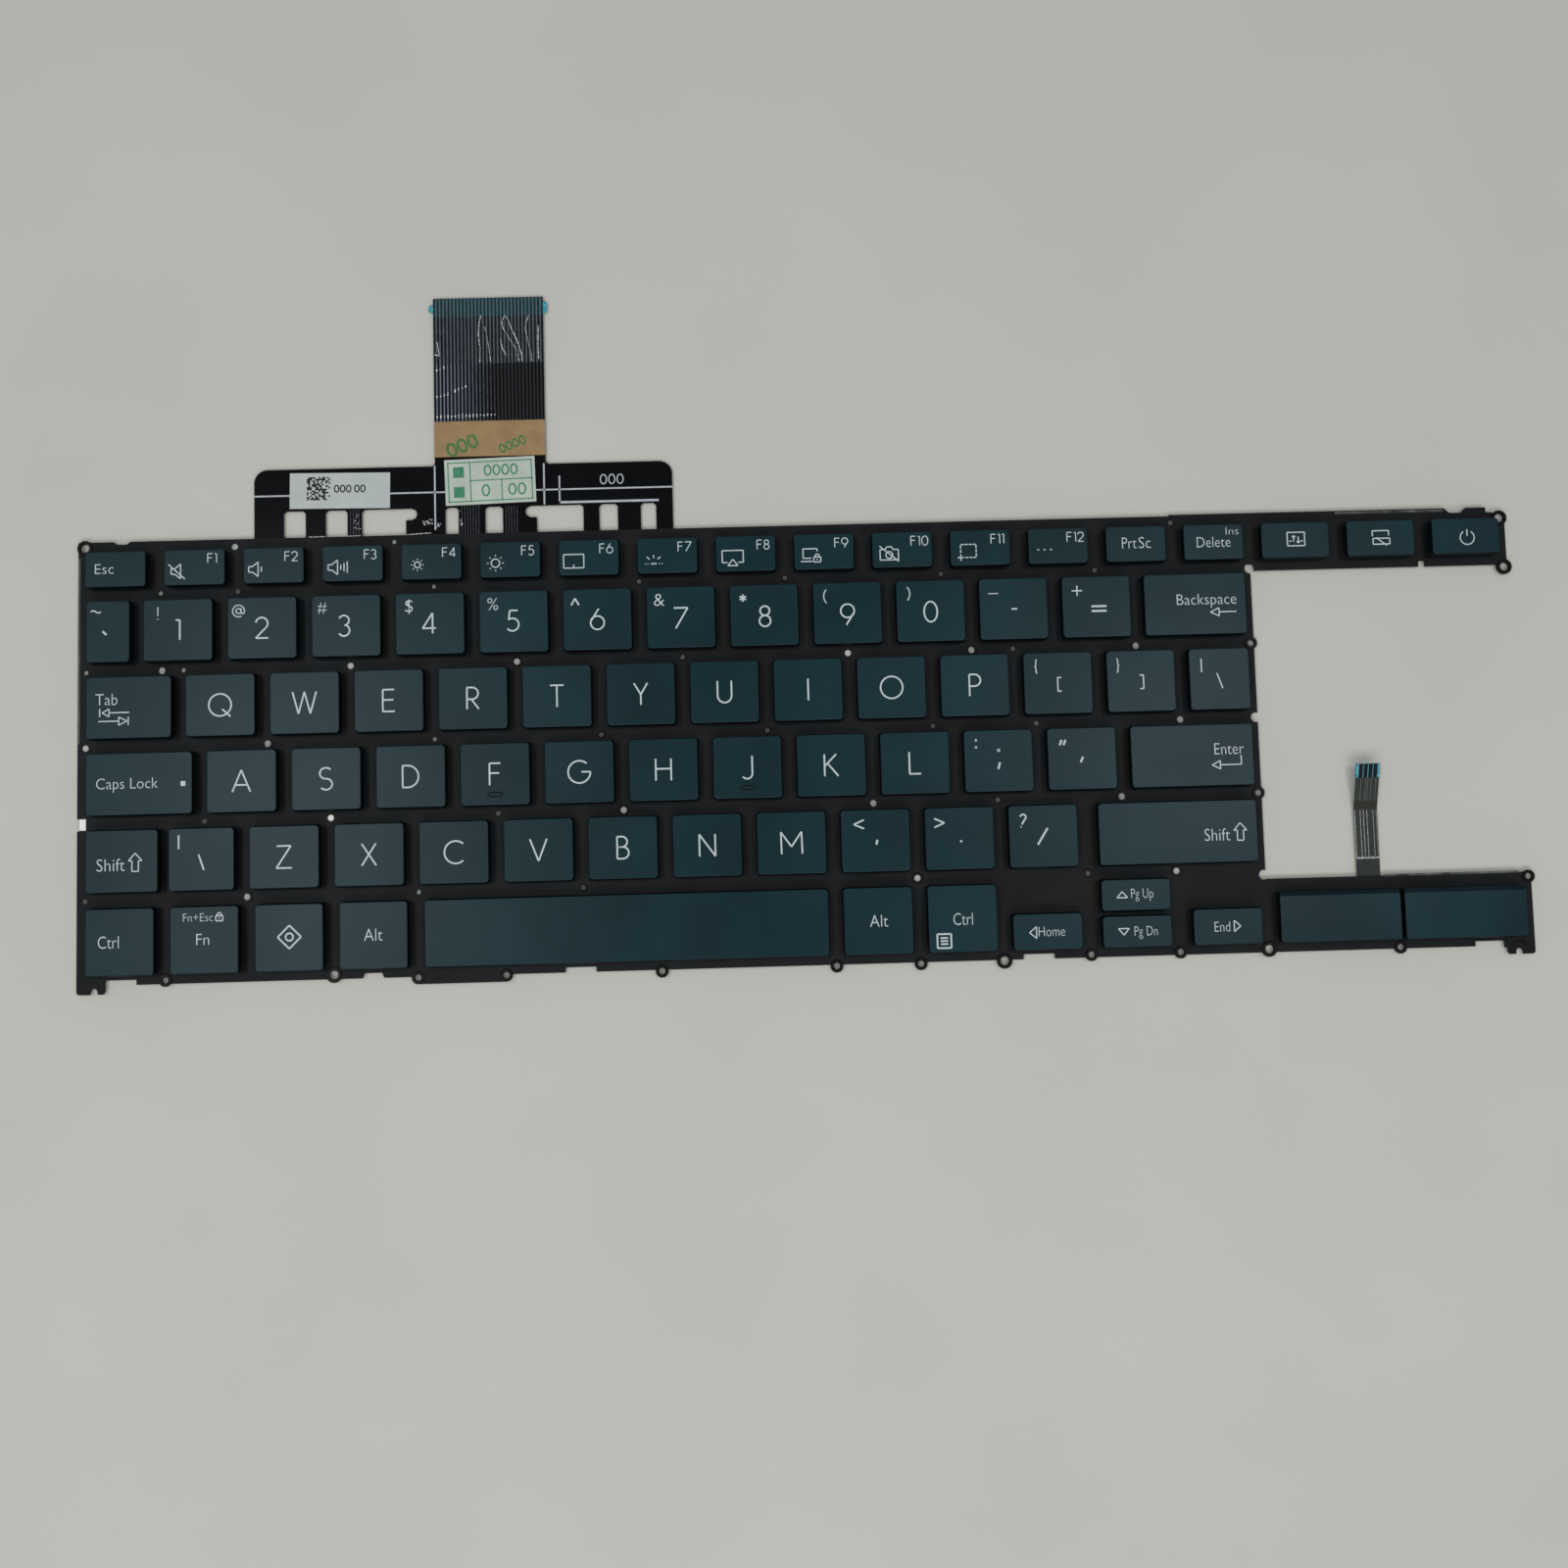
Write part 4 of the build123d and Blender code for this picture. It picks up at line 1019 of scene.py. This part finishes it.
def add_legend(bm, name, low, high):
    """Add a key's legend to the top of its cap."""
    middle = (low + high) / 2
    for kind, detail, strokes in LEGENDS[name]:
        part = word_mesh(*detail) if kind == "word" else strokes_mesh(strokes, detail)
        bmesh.ops.translate(part, vec=(middle.x, middle.y, KEY_TOP), verts=part.verts)
        join(bm, part)


def standing(profile):
    """A profile lifted onto the plate."""
    return [(radius, PLATE_TOP + z) for radius, z in profile]


# Moving keys: cap, legend, and the dome and links under it
for node in [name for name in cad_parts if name.startswith("key_") or name in BUTTONS]:
    name = node.removeprefix("key_")
    low, high = (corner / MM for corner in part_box(node))
    high.z = KEY_TOP
    is_button = node in BUTTONS
    cap = cap_mesh(low, high, BUTTON_SLOPE if is_button else None)
    mark_walls(cap)
    # Faces of the buttons' rear slope get the third material, a painted shade
    if is_button:
        for face in cap.faces:
            if face.material_index == 0 and face.normal.y > SLOPE_FACING:
                face.material_index = 2
    if name in ("f", "j"):
        add_homing_bar(cap, low, high)
    finish_piece(f"cap_{name}", cap, node, [cap_paint, cap_wall_painted_shade, slope_painted_shade], [node])
    if name in LEGENDS:
        legend = bmesh.new()
        add_legend(legend, name, low, high)
        finish_piece(f"legend_{name}", legend, node, [legend_white])
    foot = Vector(((low.x + high.x) / 2, (low.y + high.y) / 2, 0.0))
    below = bmesh.new()
    spin_profile(below, foot, standing(DOME_PROFILE), False, DOME_STEPS)
    shown = ["rubber_domes"]
    if not is_button:
        shown.append("scissor_links")
        for offset in (-SPACE_LINK_OFFSET, SPACE_LINK_OFFSET) if name == "space" else (0.0,):
            for width, lean in zip(LINK_WIDTHS, (1, -1)):
                add_link(below, foot + Vector((offset, 0.0, 0.0)), width, lean)
    finishes = [dome_silicone, link_acetal]
    support = finish_piece(f"support_{name}", below, "chassis", finishes, shown)
    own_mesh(support)

# Fixed caps, in groups, each read from its CAD node in the order that its legends follow
FIXED_GROUPS = {
    "function_row_keys": (
        "esc f1 f2 f3 f4 f5 f6 f7 f8 f9 f10 f11 f12 print_screen delete screen_swap screen_off power",
        lambda box: box[0].x,
    ),
    "symbol_keys": (
        "grave minus equals bracket_open bracket_close backslash semicolon quote"
        " slash_left comma period slash",
        lambda box: (-round(box[0].y), box[0].x),
    ),
    "command_keys": (
        "ctrl_left fn system alt_left alt_right ctrl_right arrow_left arrow_up arrow_down arrow_right",
        lambda box: (round(box[0].x), -box[0].y),
    ),
}
for group, (names, order) in FIXED_GROUPS.items():
    caps = bmesh.new()
    legends = bmesh.new()
    posts = bmesh.new()
    for name, (low, high) in zip(names.split(), sorted(solid_boxes(group), key=order)):
        foot = Vector(((low.x + high.x) / 2, (low.y + high.y) / 2, 0.0))
        spin_profile(posts, foot, standing(POST_PROFILE), False, DOME_STEPS)
        low.z = CAP_LOW
        join(caps, cap_mesh(low, high))
        add_legend(legends, name, low, high)
    mark_walls(caps)
    finish_piece(f"caps_{group}", caps, "chassis", [cap_paint, cap_wall_painted_shade], [group])
    finish_piece(f"legends_{group}", legends, "chassis", [legend_white])
    finish_piece(f"posts_{group}", posts, "chassis", [dome_silicone])

# Rims of ears and holes, and the blind pins, on the plate
ear_rims = bmesh.new()
for place in EARS:
    add_ring(ear_rims, place, EAR_RIM)
for place in BIG_EARS:
    add_ring(ear_rims, place, BIG_EAR_RIM)
finish_piece("ear_rims", ear_rims, "chassis", [rim_coat])
hole_rims = bmesh.new()
for cell in RIMMED_GRID:
    add_ring(hole_rims, grid_place(*cell), HOLE_RIM)
for place in [grid_place(*cell) for cell in PLAIN_GRID] + PLAIN_EDGE_HOLES:
    add_ring(hole_rims, place, HOLE_LIP)
finish_piece("hole_rims", hole_rims, "chassis", [rim_coat])
pin_rims = bmesh.new()
pins = bmesh.new()
bright_pins = bmesh.new()
grid_pins = [grid_place(*cell) for cell in PIN_GRID]
bright_places = grid_pins[:BRIGHT_GRID_PINS] + EDGE_PINS[:BRIGHT_EDGE_PINS]
for place in SUNK_PINS:
    add_ring(pin_rims, place, PIN_RIM)
    spin_profile(pin_rims, at(*place), standing(DIMPLE_PROFILE), False, DIMPLE_STEPS)
for place in grid_pins + EDGE_PINS:
    add_ring(pin_rims, place, PIN_RIM)
    if place in bright_places:
        spin_profile(bright_pins, at(*place) + BRIGHT_SHIFT, standing(PIN_PROFILE), False, PIN_STEPS)
    else:
        spin_profile(pin_rims, at(*place), standing(DIMPLE_PROFILE), False, DIMPLE_STEPS)
        spin_profile(pins, at(*place), standing(PIN_PROFILE), False, PIN_STEPS)
# Marks that a die has pressed round the slots of the two legs
for x in LEG_SLOTS:
    mark = strokes_mesh([arc(0.0, 0.0, COINED_RADIUS, 10, 170)], COINED_WEIGHT)
    bmesh.ops.translate(mark, vec=at(x, SLOT_TOP, PLATE_TOP), verts=mark.verts)
    join(pin_rims, mark)
finish_piece("pin_rims", pin_rims, "chassis", [rim_coat])
finish_piece("pins", pins, "chassis", [pin_dull])
finish_piece("bright_pins", bright_pins, "chassis", [pin_grey])

# Film that shows through the plate's holes: shaded in most, white in one and in the notch of the left edge
back_profile = [(radius, PLATE_LOW + z) for radius, z in HOLE_BACK]
hole_backs = bmesh.new()
white_backs = bmesh.new()
for place in [grid_place(*cell) for cell in RIMMED_GRID + PLAIN_GRID] + PLAIN_EDGE_HOLES:
    backs = white_backs if place == grid_place(*WHITE_HOLE) else hole_backs
    spin_profile(backs, at(*place), back_profile, False, HOLE_BACK_STEPS)
add_film_print(white_backs, *NOTCH_BACK)
finish_piece("hole_backs", hole_backs, "chassis", [shaded_film])
finish_piece("white_backs", white_backs, "chassis", [reflector])

# White lines and a plain number printed on the apron
tail_middle = (TAIL[0] + TAIL[1]) / 2
apron_print = bmesh.new()
APRON_LINES = [
    (APRON, (29.85, 30.2)), ((45.97, 46.32), (21.6, 36.0)), ((70.12, 70.47), (26.7, 36.0)),
    ((73.52, 73.87), (26.8, 33.1)), ((73.52, 95.6), (26.85, 27.35)),
]
for x_range, y_range in APRON_LINES:
    add_film_print(apron_print, x_range, y_range)
x, y, height, weight = APRON_NUMBER
number = strokes_mesh(drawn("000", 0.0, 0.0, height)[2], weight)
bmesh.ops.translate(number, vec=at(x, y, FILM_TOP), verts=number.verts)
join(apron_print, number)
film_piece("apron_print", apron_print, print_white)


def trace_sides(i):
    """Left and right side of one of the tail's lines."""
    x = tail_middle + (i - (TAIL_TRACES - 1) / 2) * TAIL_TRACE_PITCH
    return (x - TAIL_TRACE_WIDTH / 2, x + TAIL_TRACE_WIDTH / 2)


# Fine circuit lines between the apron's windows: first line, how many, and their two ends
fine_traces = bmesh.new()
FINE_RUNS = [(27.4, 4, 20.6, 26.5), (52.0, 7, 20.6, 27.0), (61.7, 5, 20.6, 26.6)]
for first, count, low, high in FINE_RUNS:
    for i in range(count):
        x = first + FINE_PITCH * i
        add_film_print(fine_traces, (x, x + FINE_WIDTH), (low, high))
film_piece("fine_traces", fine_traces, fine_ink)

# Lines along the tail on their ground, and greyed lines on its contact end
GROUNDS = {
    "tail_ground": ((LINER[1], OVERLAY[1]), tail_ground_film),
    "contact_end": ((OVERLAY[1], TAIL_END - 0.02), contact_film),
}
for name, (y_range, material) in GROUNDS.items():
    ground = bmesh.new()
    add_sheet(ground, TAIL, y_range, FILM_TOP - GROUND_ROOT, FILM_TOP + GROUND_RISE)
    film_piece(name, ground, material)
TRACE_RUNS = {
    "tail_traces": ((LINER[1], OVERLAY[0]), trace_ink_painted_sheen),
    "covered_traces": (OVERLAY, covered_ink),
    "contacts": ((OVERLAY[1], TAIL_END - 0.1), contact_line),
}
for name, (y_range, ink) in TRACE_RUNS.items():
    traces = bmesh.new()
    for i in range(TAIL_TRACES):
        add_sheet(traces, trace_sides(i), y_range, FILM_TOP, FILM_TOP + PRINT_HEIGHT)
    film_piece(name, traces, ink)

# Clear overlay on the tail: a grid lifted a little along its creases
overlay = bmesh.new()
bmesh.ops.create_grid(overlay, x_segments=OVERLAY_GRID[0], y_segments=OVERLAY_GRID[1], size=0.5)
overlay_size = (TAIL[1] - TAIL[0] - 0.1, OVERLAY[1] - OVERLAY[0], 1.0)
bmesh.ops.scale(overlay, vec=overlay_size, verts=overlay.verts)
# Middle, slant, width and height of each ridge
OVERLAY_RIDGES = [
    (-1.5, 0.1, 0.6, 0.1), (-0.2, -0.15, 0.6, 0.1), (4.9, -0.35, 0.7, 0.14), (8.9, -0.1, 0.6, 0.1),
]
for vert in overlay.verts:
    lift = 0.0
    for ridge_x, slant, width, height in OVERLAY_RIDGES:
        lift += height * math.exp(-(((vert.co.x - ridge_x - slant * vert.co.y) / width) ** 2))
    vert.co.z = FILM_TOP + OVERLAY_LIFT + lift * max(0.0, 1 - (2 * vert.co.y / overlay_size[1]) ** 4)
overlay_place = at(tail_middle, (OVERLAY[0] + OVERLAY[1]) / 2)
bmesh.ops.translate(overlay, vec=overlay_place, verts=overlay.verts)
overlay_piece = film_piece("tail_overlay", overlay, overlay_film)
overlay_piece.data.shade_smooth()

# Painted highlights: white strokes along the overlay's creases, across the lines where the tail is bent, and
# glints where the apron rolls under the plate
CREASES = [
    [(56.9, 70.0), (56.4, 68.1), (56.2, 65.4), (56.6, 62.4), (56.5, 59.3)],
    [(57.6, 67.4), (58.0, 65.7), (58.6, 62.0), (58.9, 59.3)],
    [(65.1, 59.3), (64.8, 61.7), (63.2, 64.4), (61.8, 66.8), (61.5, 68.4), (62.1, 69.9), (62.9, 68.8),
     (63.6, 66.8), (64.8, 64.1), (65.8, 61.0), (65.9, 59.3)],
    [(61.2, 64.4), (61.5, 62.4), (62.3, 60.8)],
    [(67.5, 69.8), (66.9, 68.1), (66.7, 66.8), (67.2, 64.1), (67.9, 61.0), (68.0, 59.3)],
    [(69.6, 67.4), (69.5, 63.4), (69.6, 59.7)],
    [(47.0, 64.1), (47.5, 61.0)],
    [(46.4, 61.2), (47.6, 60.9)],
]
# First and last line crossed, and how far along the tail the painted highlight is at each
CROSS_CREASES = [(0, 3, 51.5, 52.2), (5, 8, 52.9, 53.8), (0, 16, 47.0, 47.3), (0, 2, 57.6, 58.1)]
ROLL_GLINTS = [
    [(18.2, 20.65), (21.8, 20.7)], [(26.6, 20.65), (29.7, 20.7)], [(39.6, 20.65), (45.2, 20.95)],
]
# Clusters of small glints: their middle, how far they spread, and how many there are
SPARKLES = [
    (28.9, 23.8, 0.7, 1.7, 10), (44.6, 23.3, 1.2, 0.7, 14),
    (46.9, 22.6, 0.5, 0.5, 8), (52.0, 24.1, 0.4, 1.8, 7),
]
SPARKLE_REACH = 0.22
creases = strokes_mesh(CREASES, CREASE_WEIGHT)
bmesh.ops.translate(creases, vec=at(0.0, 0.0, FILM_TOP + CREASE_LIFT), verts=creases.verts)
draw = random.Random(7)
sparkles = []
for x, y, spread_x, spread_y, count in SPARKLES:
    for _ in range(count):
        middle = (x + draw.uniform(-spread_x, spread_x), y + draw.uniform(-spread_y, spread_y))
        turn = draw.uniform(0, 180)
        sparkles.append(arc(*middle, draw.uniform(0.3, 1.0) * SPARKLE_REACH, turn, turn + 180, steps=1))
glints = strokes_mesh(ROLL_GLINTS + sparkles, CREASE_WEIGHT)
bmesh.ops.translate(glints, vec=at(0.0, 0.0, FILM_TOP + PRINT_HEIGHT), verts=glints.verts)
join(creases, glints)
for first, last, start, end in CROSS_CREASES:
    for i in range(first, last + 1):
        y = start + (end - start) * (i - first) / (last - first)
        half = draw.uniform(*CROSS_CREASE) / 2
        add_sheet(creases, trace_sides(i), (y - half, y + half), FILM_TOP, FILM_TOP + 2 * PRINT_HEIGHT)
film_piece("film_crease_highlights", creases, crease_painted_highlights)

# Round-cornered ears of the blue stiffener on both sides of the contact end
stiffener_ears = bmesh.new()
for x, reach, low, high in EAR_TABS:
    ear = start_box(at(x - reach, low, FILM_LOW), at(x + reach, high, FILM_TOP - 0.02))
    upright = [edge for edge in ear.edges if abs(edge.verts[0].co.z - edge.verts[1].co.z) > 0.05]
    bevel(ear, upright, EAR_TAB_CORNER, 3)
    join(stiffener_ears, ear)
finish_piece("stiffener_ears", stiffener_ears, "chassis", [stiffener_blue])

# Sliver of the light guide that shows past the plate's left edge
edge_sliver = bmesh.new()
add_plate_strip(edge_sliver, *GUIDE_SLIVER)
finish_piece("guide_sliver", edge_sliver, "chassis", [guide_edge])

# Film edges along the top of the two arms, with painted glints
film_edges = bmesh.new()
for x_range, y_range in FILM_EDGES:
    add_plate_strip(film_edges, x_range, y_range)
film_piece("film_edges", film_edges, film_edge_painted_glints)


def turned_at(x, y, turn):
    """The move that lays printing on a label or on the liner, turned by degrees."""
    return Matrix.Translation(at(x, y, LABEL_TOP)) @ Matrix.Rotation(math.radians(turn), 4, "Z")


# Plain slanted numbers printed on the liner: the number, its place, height and line weight
liner_print = bmesh.new()
for number, x, y, height, weight in [("000", 52.3, 40.4, 2.8, 0.6), ("0000", 63.4, 40.5, 1.8, 0.4)]:
    printed = strokes_mesh(drawn(number, 0.0, 0.0, height)[2], weight)
    bmesh.ops.transform(printed, matrix=turned_at(x, y, LINER_SLANT), verts=printed.verts)
    join(liner_print, printed)
finish_piece("liner_print", liner_print, "chassis", [liner_green])


def add_on_label(bm, label, left, low, right, high):
    """Add printing to a label, in its own turned axes from its middle."""
    x, y, _, _, turn = label
    mark = start_box((left, low, -0.01), (right, high, PRINT_HEIGHT))
    bmesh.ops.transform(mark, matrix=turned_at(x, y, turn), verts=mark.verts)
    join(bm, mark)


def add_number(bm, label, number, x, y, height, weight):
    """Add a plain number to a label, in its own turned axes from its middle."""
    part = strokes_mesh(drawn(number, x, y, height)[2], weight)
    label_x, label_y, _, _, turn = label
    bmesh.ops.transform(part, matrix=turned_at(label_x, label_y, turn), verts=part.verts)
    join(bm, part)


# White label: a block of scattered dark squares and a plain number
code_print = bmesh.new()
draw = random.Random(11)
for column in range(CODE_CELLS):
    for row in range(CODE_CELLS):
        if draw.random() < CODE_FILL:
            x = CODE_BLOCK[0] + CODE_CELL * column
            y = CODE_BLOCK[1] + CODE_CELL * row
            add_on_label(code_print, CODE_LABEL, x, y, x + CODE_CELL, y + CODE_CELL)
for number, x in CODE_NUMBERS:
    add_number(code_print, CODE_LABEL, number, x, CODE_NUMBER_Y, *CODE_NUMBER_SIZE)
finish_piece("code_print", code_print, "chassis", [print_black])

# Pale label: a ruled frame with two small squares and plain numbers in its cells
date_print = bmesh.new()
half_width = DATE_LABEL[2] / 2 - RULE_INSET
half_depth = DATE_LABEL[3] / 2 - RULE_INSET
split_x = half_width * (2 * LEFT_COLUMN - 1)
split_y = half_depth * (1 - 2 * UPPER_ROW)
lower_split_x = (split_x + half_width) / 2
for left, low, right, high in [
    (-half_width, -half_depth, half_width, -half_depth + RULE),
    (-half_width, half_depth - RULE, half_width, half_depth),
    (-half_width, -half_depth, -half_width + RULE, half_depth),
    (half_width - RULE, -half_depth, half_width, half_depth),
    (split_x, -half_depth, split_x + RULE, half_depth),
    (split_x, split_y - RULE, half_width, split_y),
    (lower_split_x, -half_depth, lower_split_x + RULE, split_y),
]:
    add_on_label(date_print, DATE_LABEL, left, low, right, high)
square_x = (split_x - half_width) / 2
for y in (half_depth / 2, -half_depth / 2):
    corners = (square_x - DATE_SQUARE, y - DATE_SQUARE, square_x + DATE_SQUARE, y + DATE_SQUARE)
    add_on_label(date_print, DATE_LABEL, *corners)
upper_middle = (split_y + half_depth) / 2
lower_middle = (split_y - half_depth) / 2
for number, x, y, height in [
    ("0000", lower_split_x, upper_middle, 2.2),
    ("0", (split_x + lower_split_x) / 2, lower_middle, 2.4),
    ("00", (lower_split_x + half_width) / 2, lower_middle, 2.4),
]:
    add_number(date_print, DATE_LABEL, number, x, y, height, DATE_WEIGHT)
finish_piece("date_print", date_print, "chassis", [print_green])


# Button ribbon: silver lines, blue contact end, dark band and tab


def ribbon_z(y):
    """Top of the button ribbon at a place along it."""
    for (y0, z0), (y1, z1) in zip(RIBBON_LINE, RIBBON_LINE[1:]):
        if y0 <= y <= y1:
            return FILM_TOP + z0 + (z1 - z0) * (y - y0) / (y1 - y0)
    return FILM_TOP


def add_on_ribbon(bm, x_range, y_range, lift):
    """Add a thin strip that follows the ribbon's top."""
    strip = bmesh.new()
    bmesh.ops.create_grid(strip, x_segments=1, y_segments=STRIP_PARTS, size=0.5)
    scale = (x_range[1] - x_range[0], y_range[1] - y_range[0], 1.0)
    bmesh.ops.scale(strip, vec=scale, verts=strip.verts)
    move = ((x_range[0] + x_range[1]) / 2, (y_range[0] + y_range[1]) / 2, 0.0)
    bmesh.ops.translate(strip, vec=move, verts=strip.verts)
    for vert in strip.verts:
        vert.co.z = ribbon_z(vert.co.y) + lift
    bmesh.ops.translate(strip, vec=LAYOUT_SHIFT, verts=strip.verts)
    raised = bmesh.ops.extrude_face_region(strip, geom=strip.faces[:])["geom"]
    lowered = [item for item in raised if isinstance(item, bmesh.types.BMVert)]
    bmesh.ops.translate(strip, vec=(0, 0, -lift - STRIP_DEPTH), verts=lowered)
    join(bm, strip)


def line_sides(share, width):
    """Sides of a line that starts at a share of the ribbon's width."""
    x = RIBBON[0] + share * (RIBBON[1] - RIBBON[0])
    return (x, x + width)


pad_sides = []
for i in range(RIBBON_PADS):
    x = RIBBON[0] + PAD_MARGIN + PAD_PITCH * i
    pad_sides.append((x, x + PAD_WIDTH))
lower_sides = [line_sides(*line) for line in RIBBON_LINES]
upper_sides = [line_sides(*line) for line in UPPER_LINES]
# Sides of the strips in each piece, their two ends, how far they stand over the ribbon, finish and slot
RIBBON_PIECES = {
    "ribbon_lines": (lower_sides, (-56.5, -46.0), PRINT_HEIGHT, ribbon_ink, "circuit_film"),
    "ribbon_stripe": ([RIBBON], (-56.7, -56.33), 0.07, ribbon_ink, "circuit_film"),
    "ribbon_upper_lines": (upper_sides, (-44.0, -39.2), PRINT_HEIGHT, ribbon_dim, "circuit_film"),
    "ribbon_pads": (pad_sides, (-39.0, -36.1), 0.04, contact_ink, "circuit_film"),
    "ribbon_end": ([RIBBON], (-39.0, -36.05), PRINT_HEIGHT, stiffener_blue, "stiffener"),
    "ribbon_band": ([RIBBON], (-46.0, -44.0), 0.05, ribbon_dark, "circuit_film"),
    "ribbon_tab": (
        [(RIBBON[0] + 0.15, RIBBON[1] - 0.05)], (-60.4, -56.7), 0.06, ribbon_tab, "circuit_film"
    ),
}
for name, (sides, ends, lift, material, slot) in RIBBON_PIECES.items():
    strips = bmesh.new()
    for x_range in sides:
        add_on_ribbon(strips, x_range, ends, lift)
    finish_piece(name, strips, "chassis", [material])

# Finishes of the CAD nodes that show
NODE_FINISH = {
    "base_plate": plate_coat,
    "membrane_sheet": film_black,
    "light_guide": guide_clear,
    "rear_film": reflector,
    "stabiliser_bars": wire_steel,
    "ribbon_stiffeners": stiffener_blue,
    "ribbon_liner": liner_paper,
    "code_label": label_white,
    "date_label": label_pale,
    "button_ribbon": ribbon_grey,
}
for node, material in NODE_FINISH.items():
    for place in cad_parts[node].material_slots:
        place.material = material

# Floor, light and camera
floor_mesh = bmesh.new()
bmesh.ops.create_grid(floor_mesh, x_segments=1, y_segments=1, size=2.0)
floor_data = bpy.data.meshes.new("floor")
floor_mesh.to_mesh(floor_data)
floor_mesh.free()
# Pale matt table top
floor_data.materials.append(surface("pale_table_top", ("#B8B8B2", "#BCBCB6"), 0.7, 60.0))
floor_object = bpy.data.objects.new("floor", floor_data)
bpy.context.scene.collection.objects.link(floor_object)
for name, (place, size, power) in LIGHTS.items():
    lamp = bpy.data.lights.new(name, "AREA")
    lamp.shape = "RECTANGLE"
    lamp.size, lamp.size_y = size
    lamp.energy = power
    lamp_object = bpy.data.objects.new(name, lamp)
    lamp_object.location = place
    lamp_object.rotation_euler = (-Vector(place)).to_track_quat("-Z", "Y").to_euler()
    bpy.context.scene.collection.objects.link(lamp_object)
world = bpy.data.worlds.new("studio")
world.use_nodes = True
world.node_tree.nodes["Background"].inputs["Color"].default_value = (1.0, 1.0, 1.0, 1.0)
world.node_tree.nodes["Background"].inputs["Strength"].default_value = AMBIENT
bpy.context.scene.world = world
camera = bpy.data.cameras.new("camera")
camera.lens = LENS
camera.sensor_width = SENSOR
camera_object = bpy.data.objects.new("camera", camera)
camera_object.location = CAMERA_PLACE
camera_object.rotation_euler = [math.radians(turn) for turn in CAMERA_TURN]
bpy.context.scene.collection.objects.link(camera_object)
bpy.context.scene.camera = camera_object
bpy.context.scene.view_settings.view_transform = "Standard"
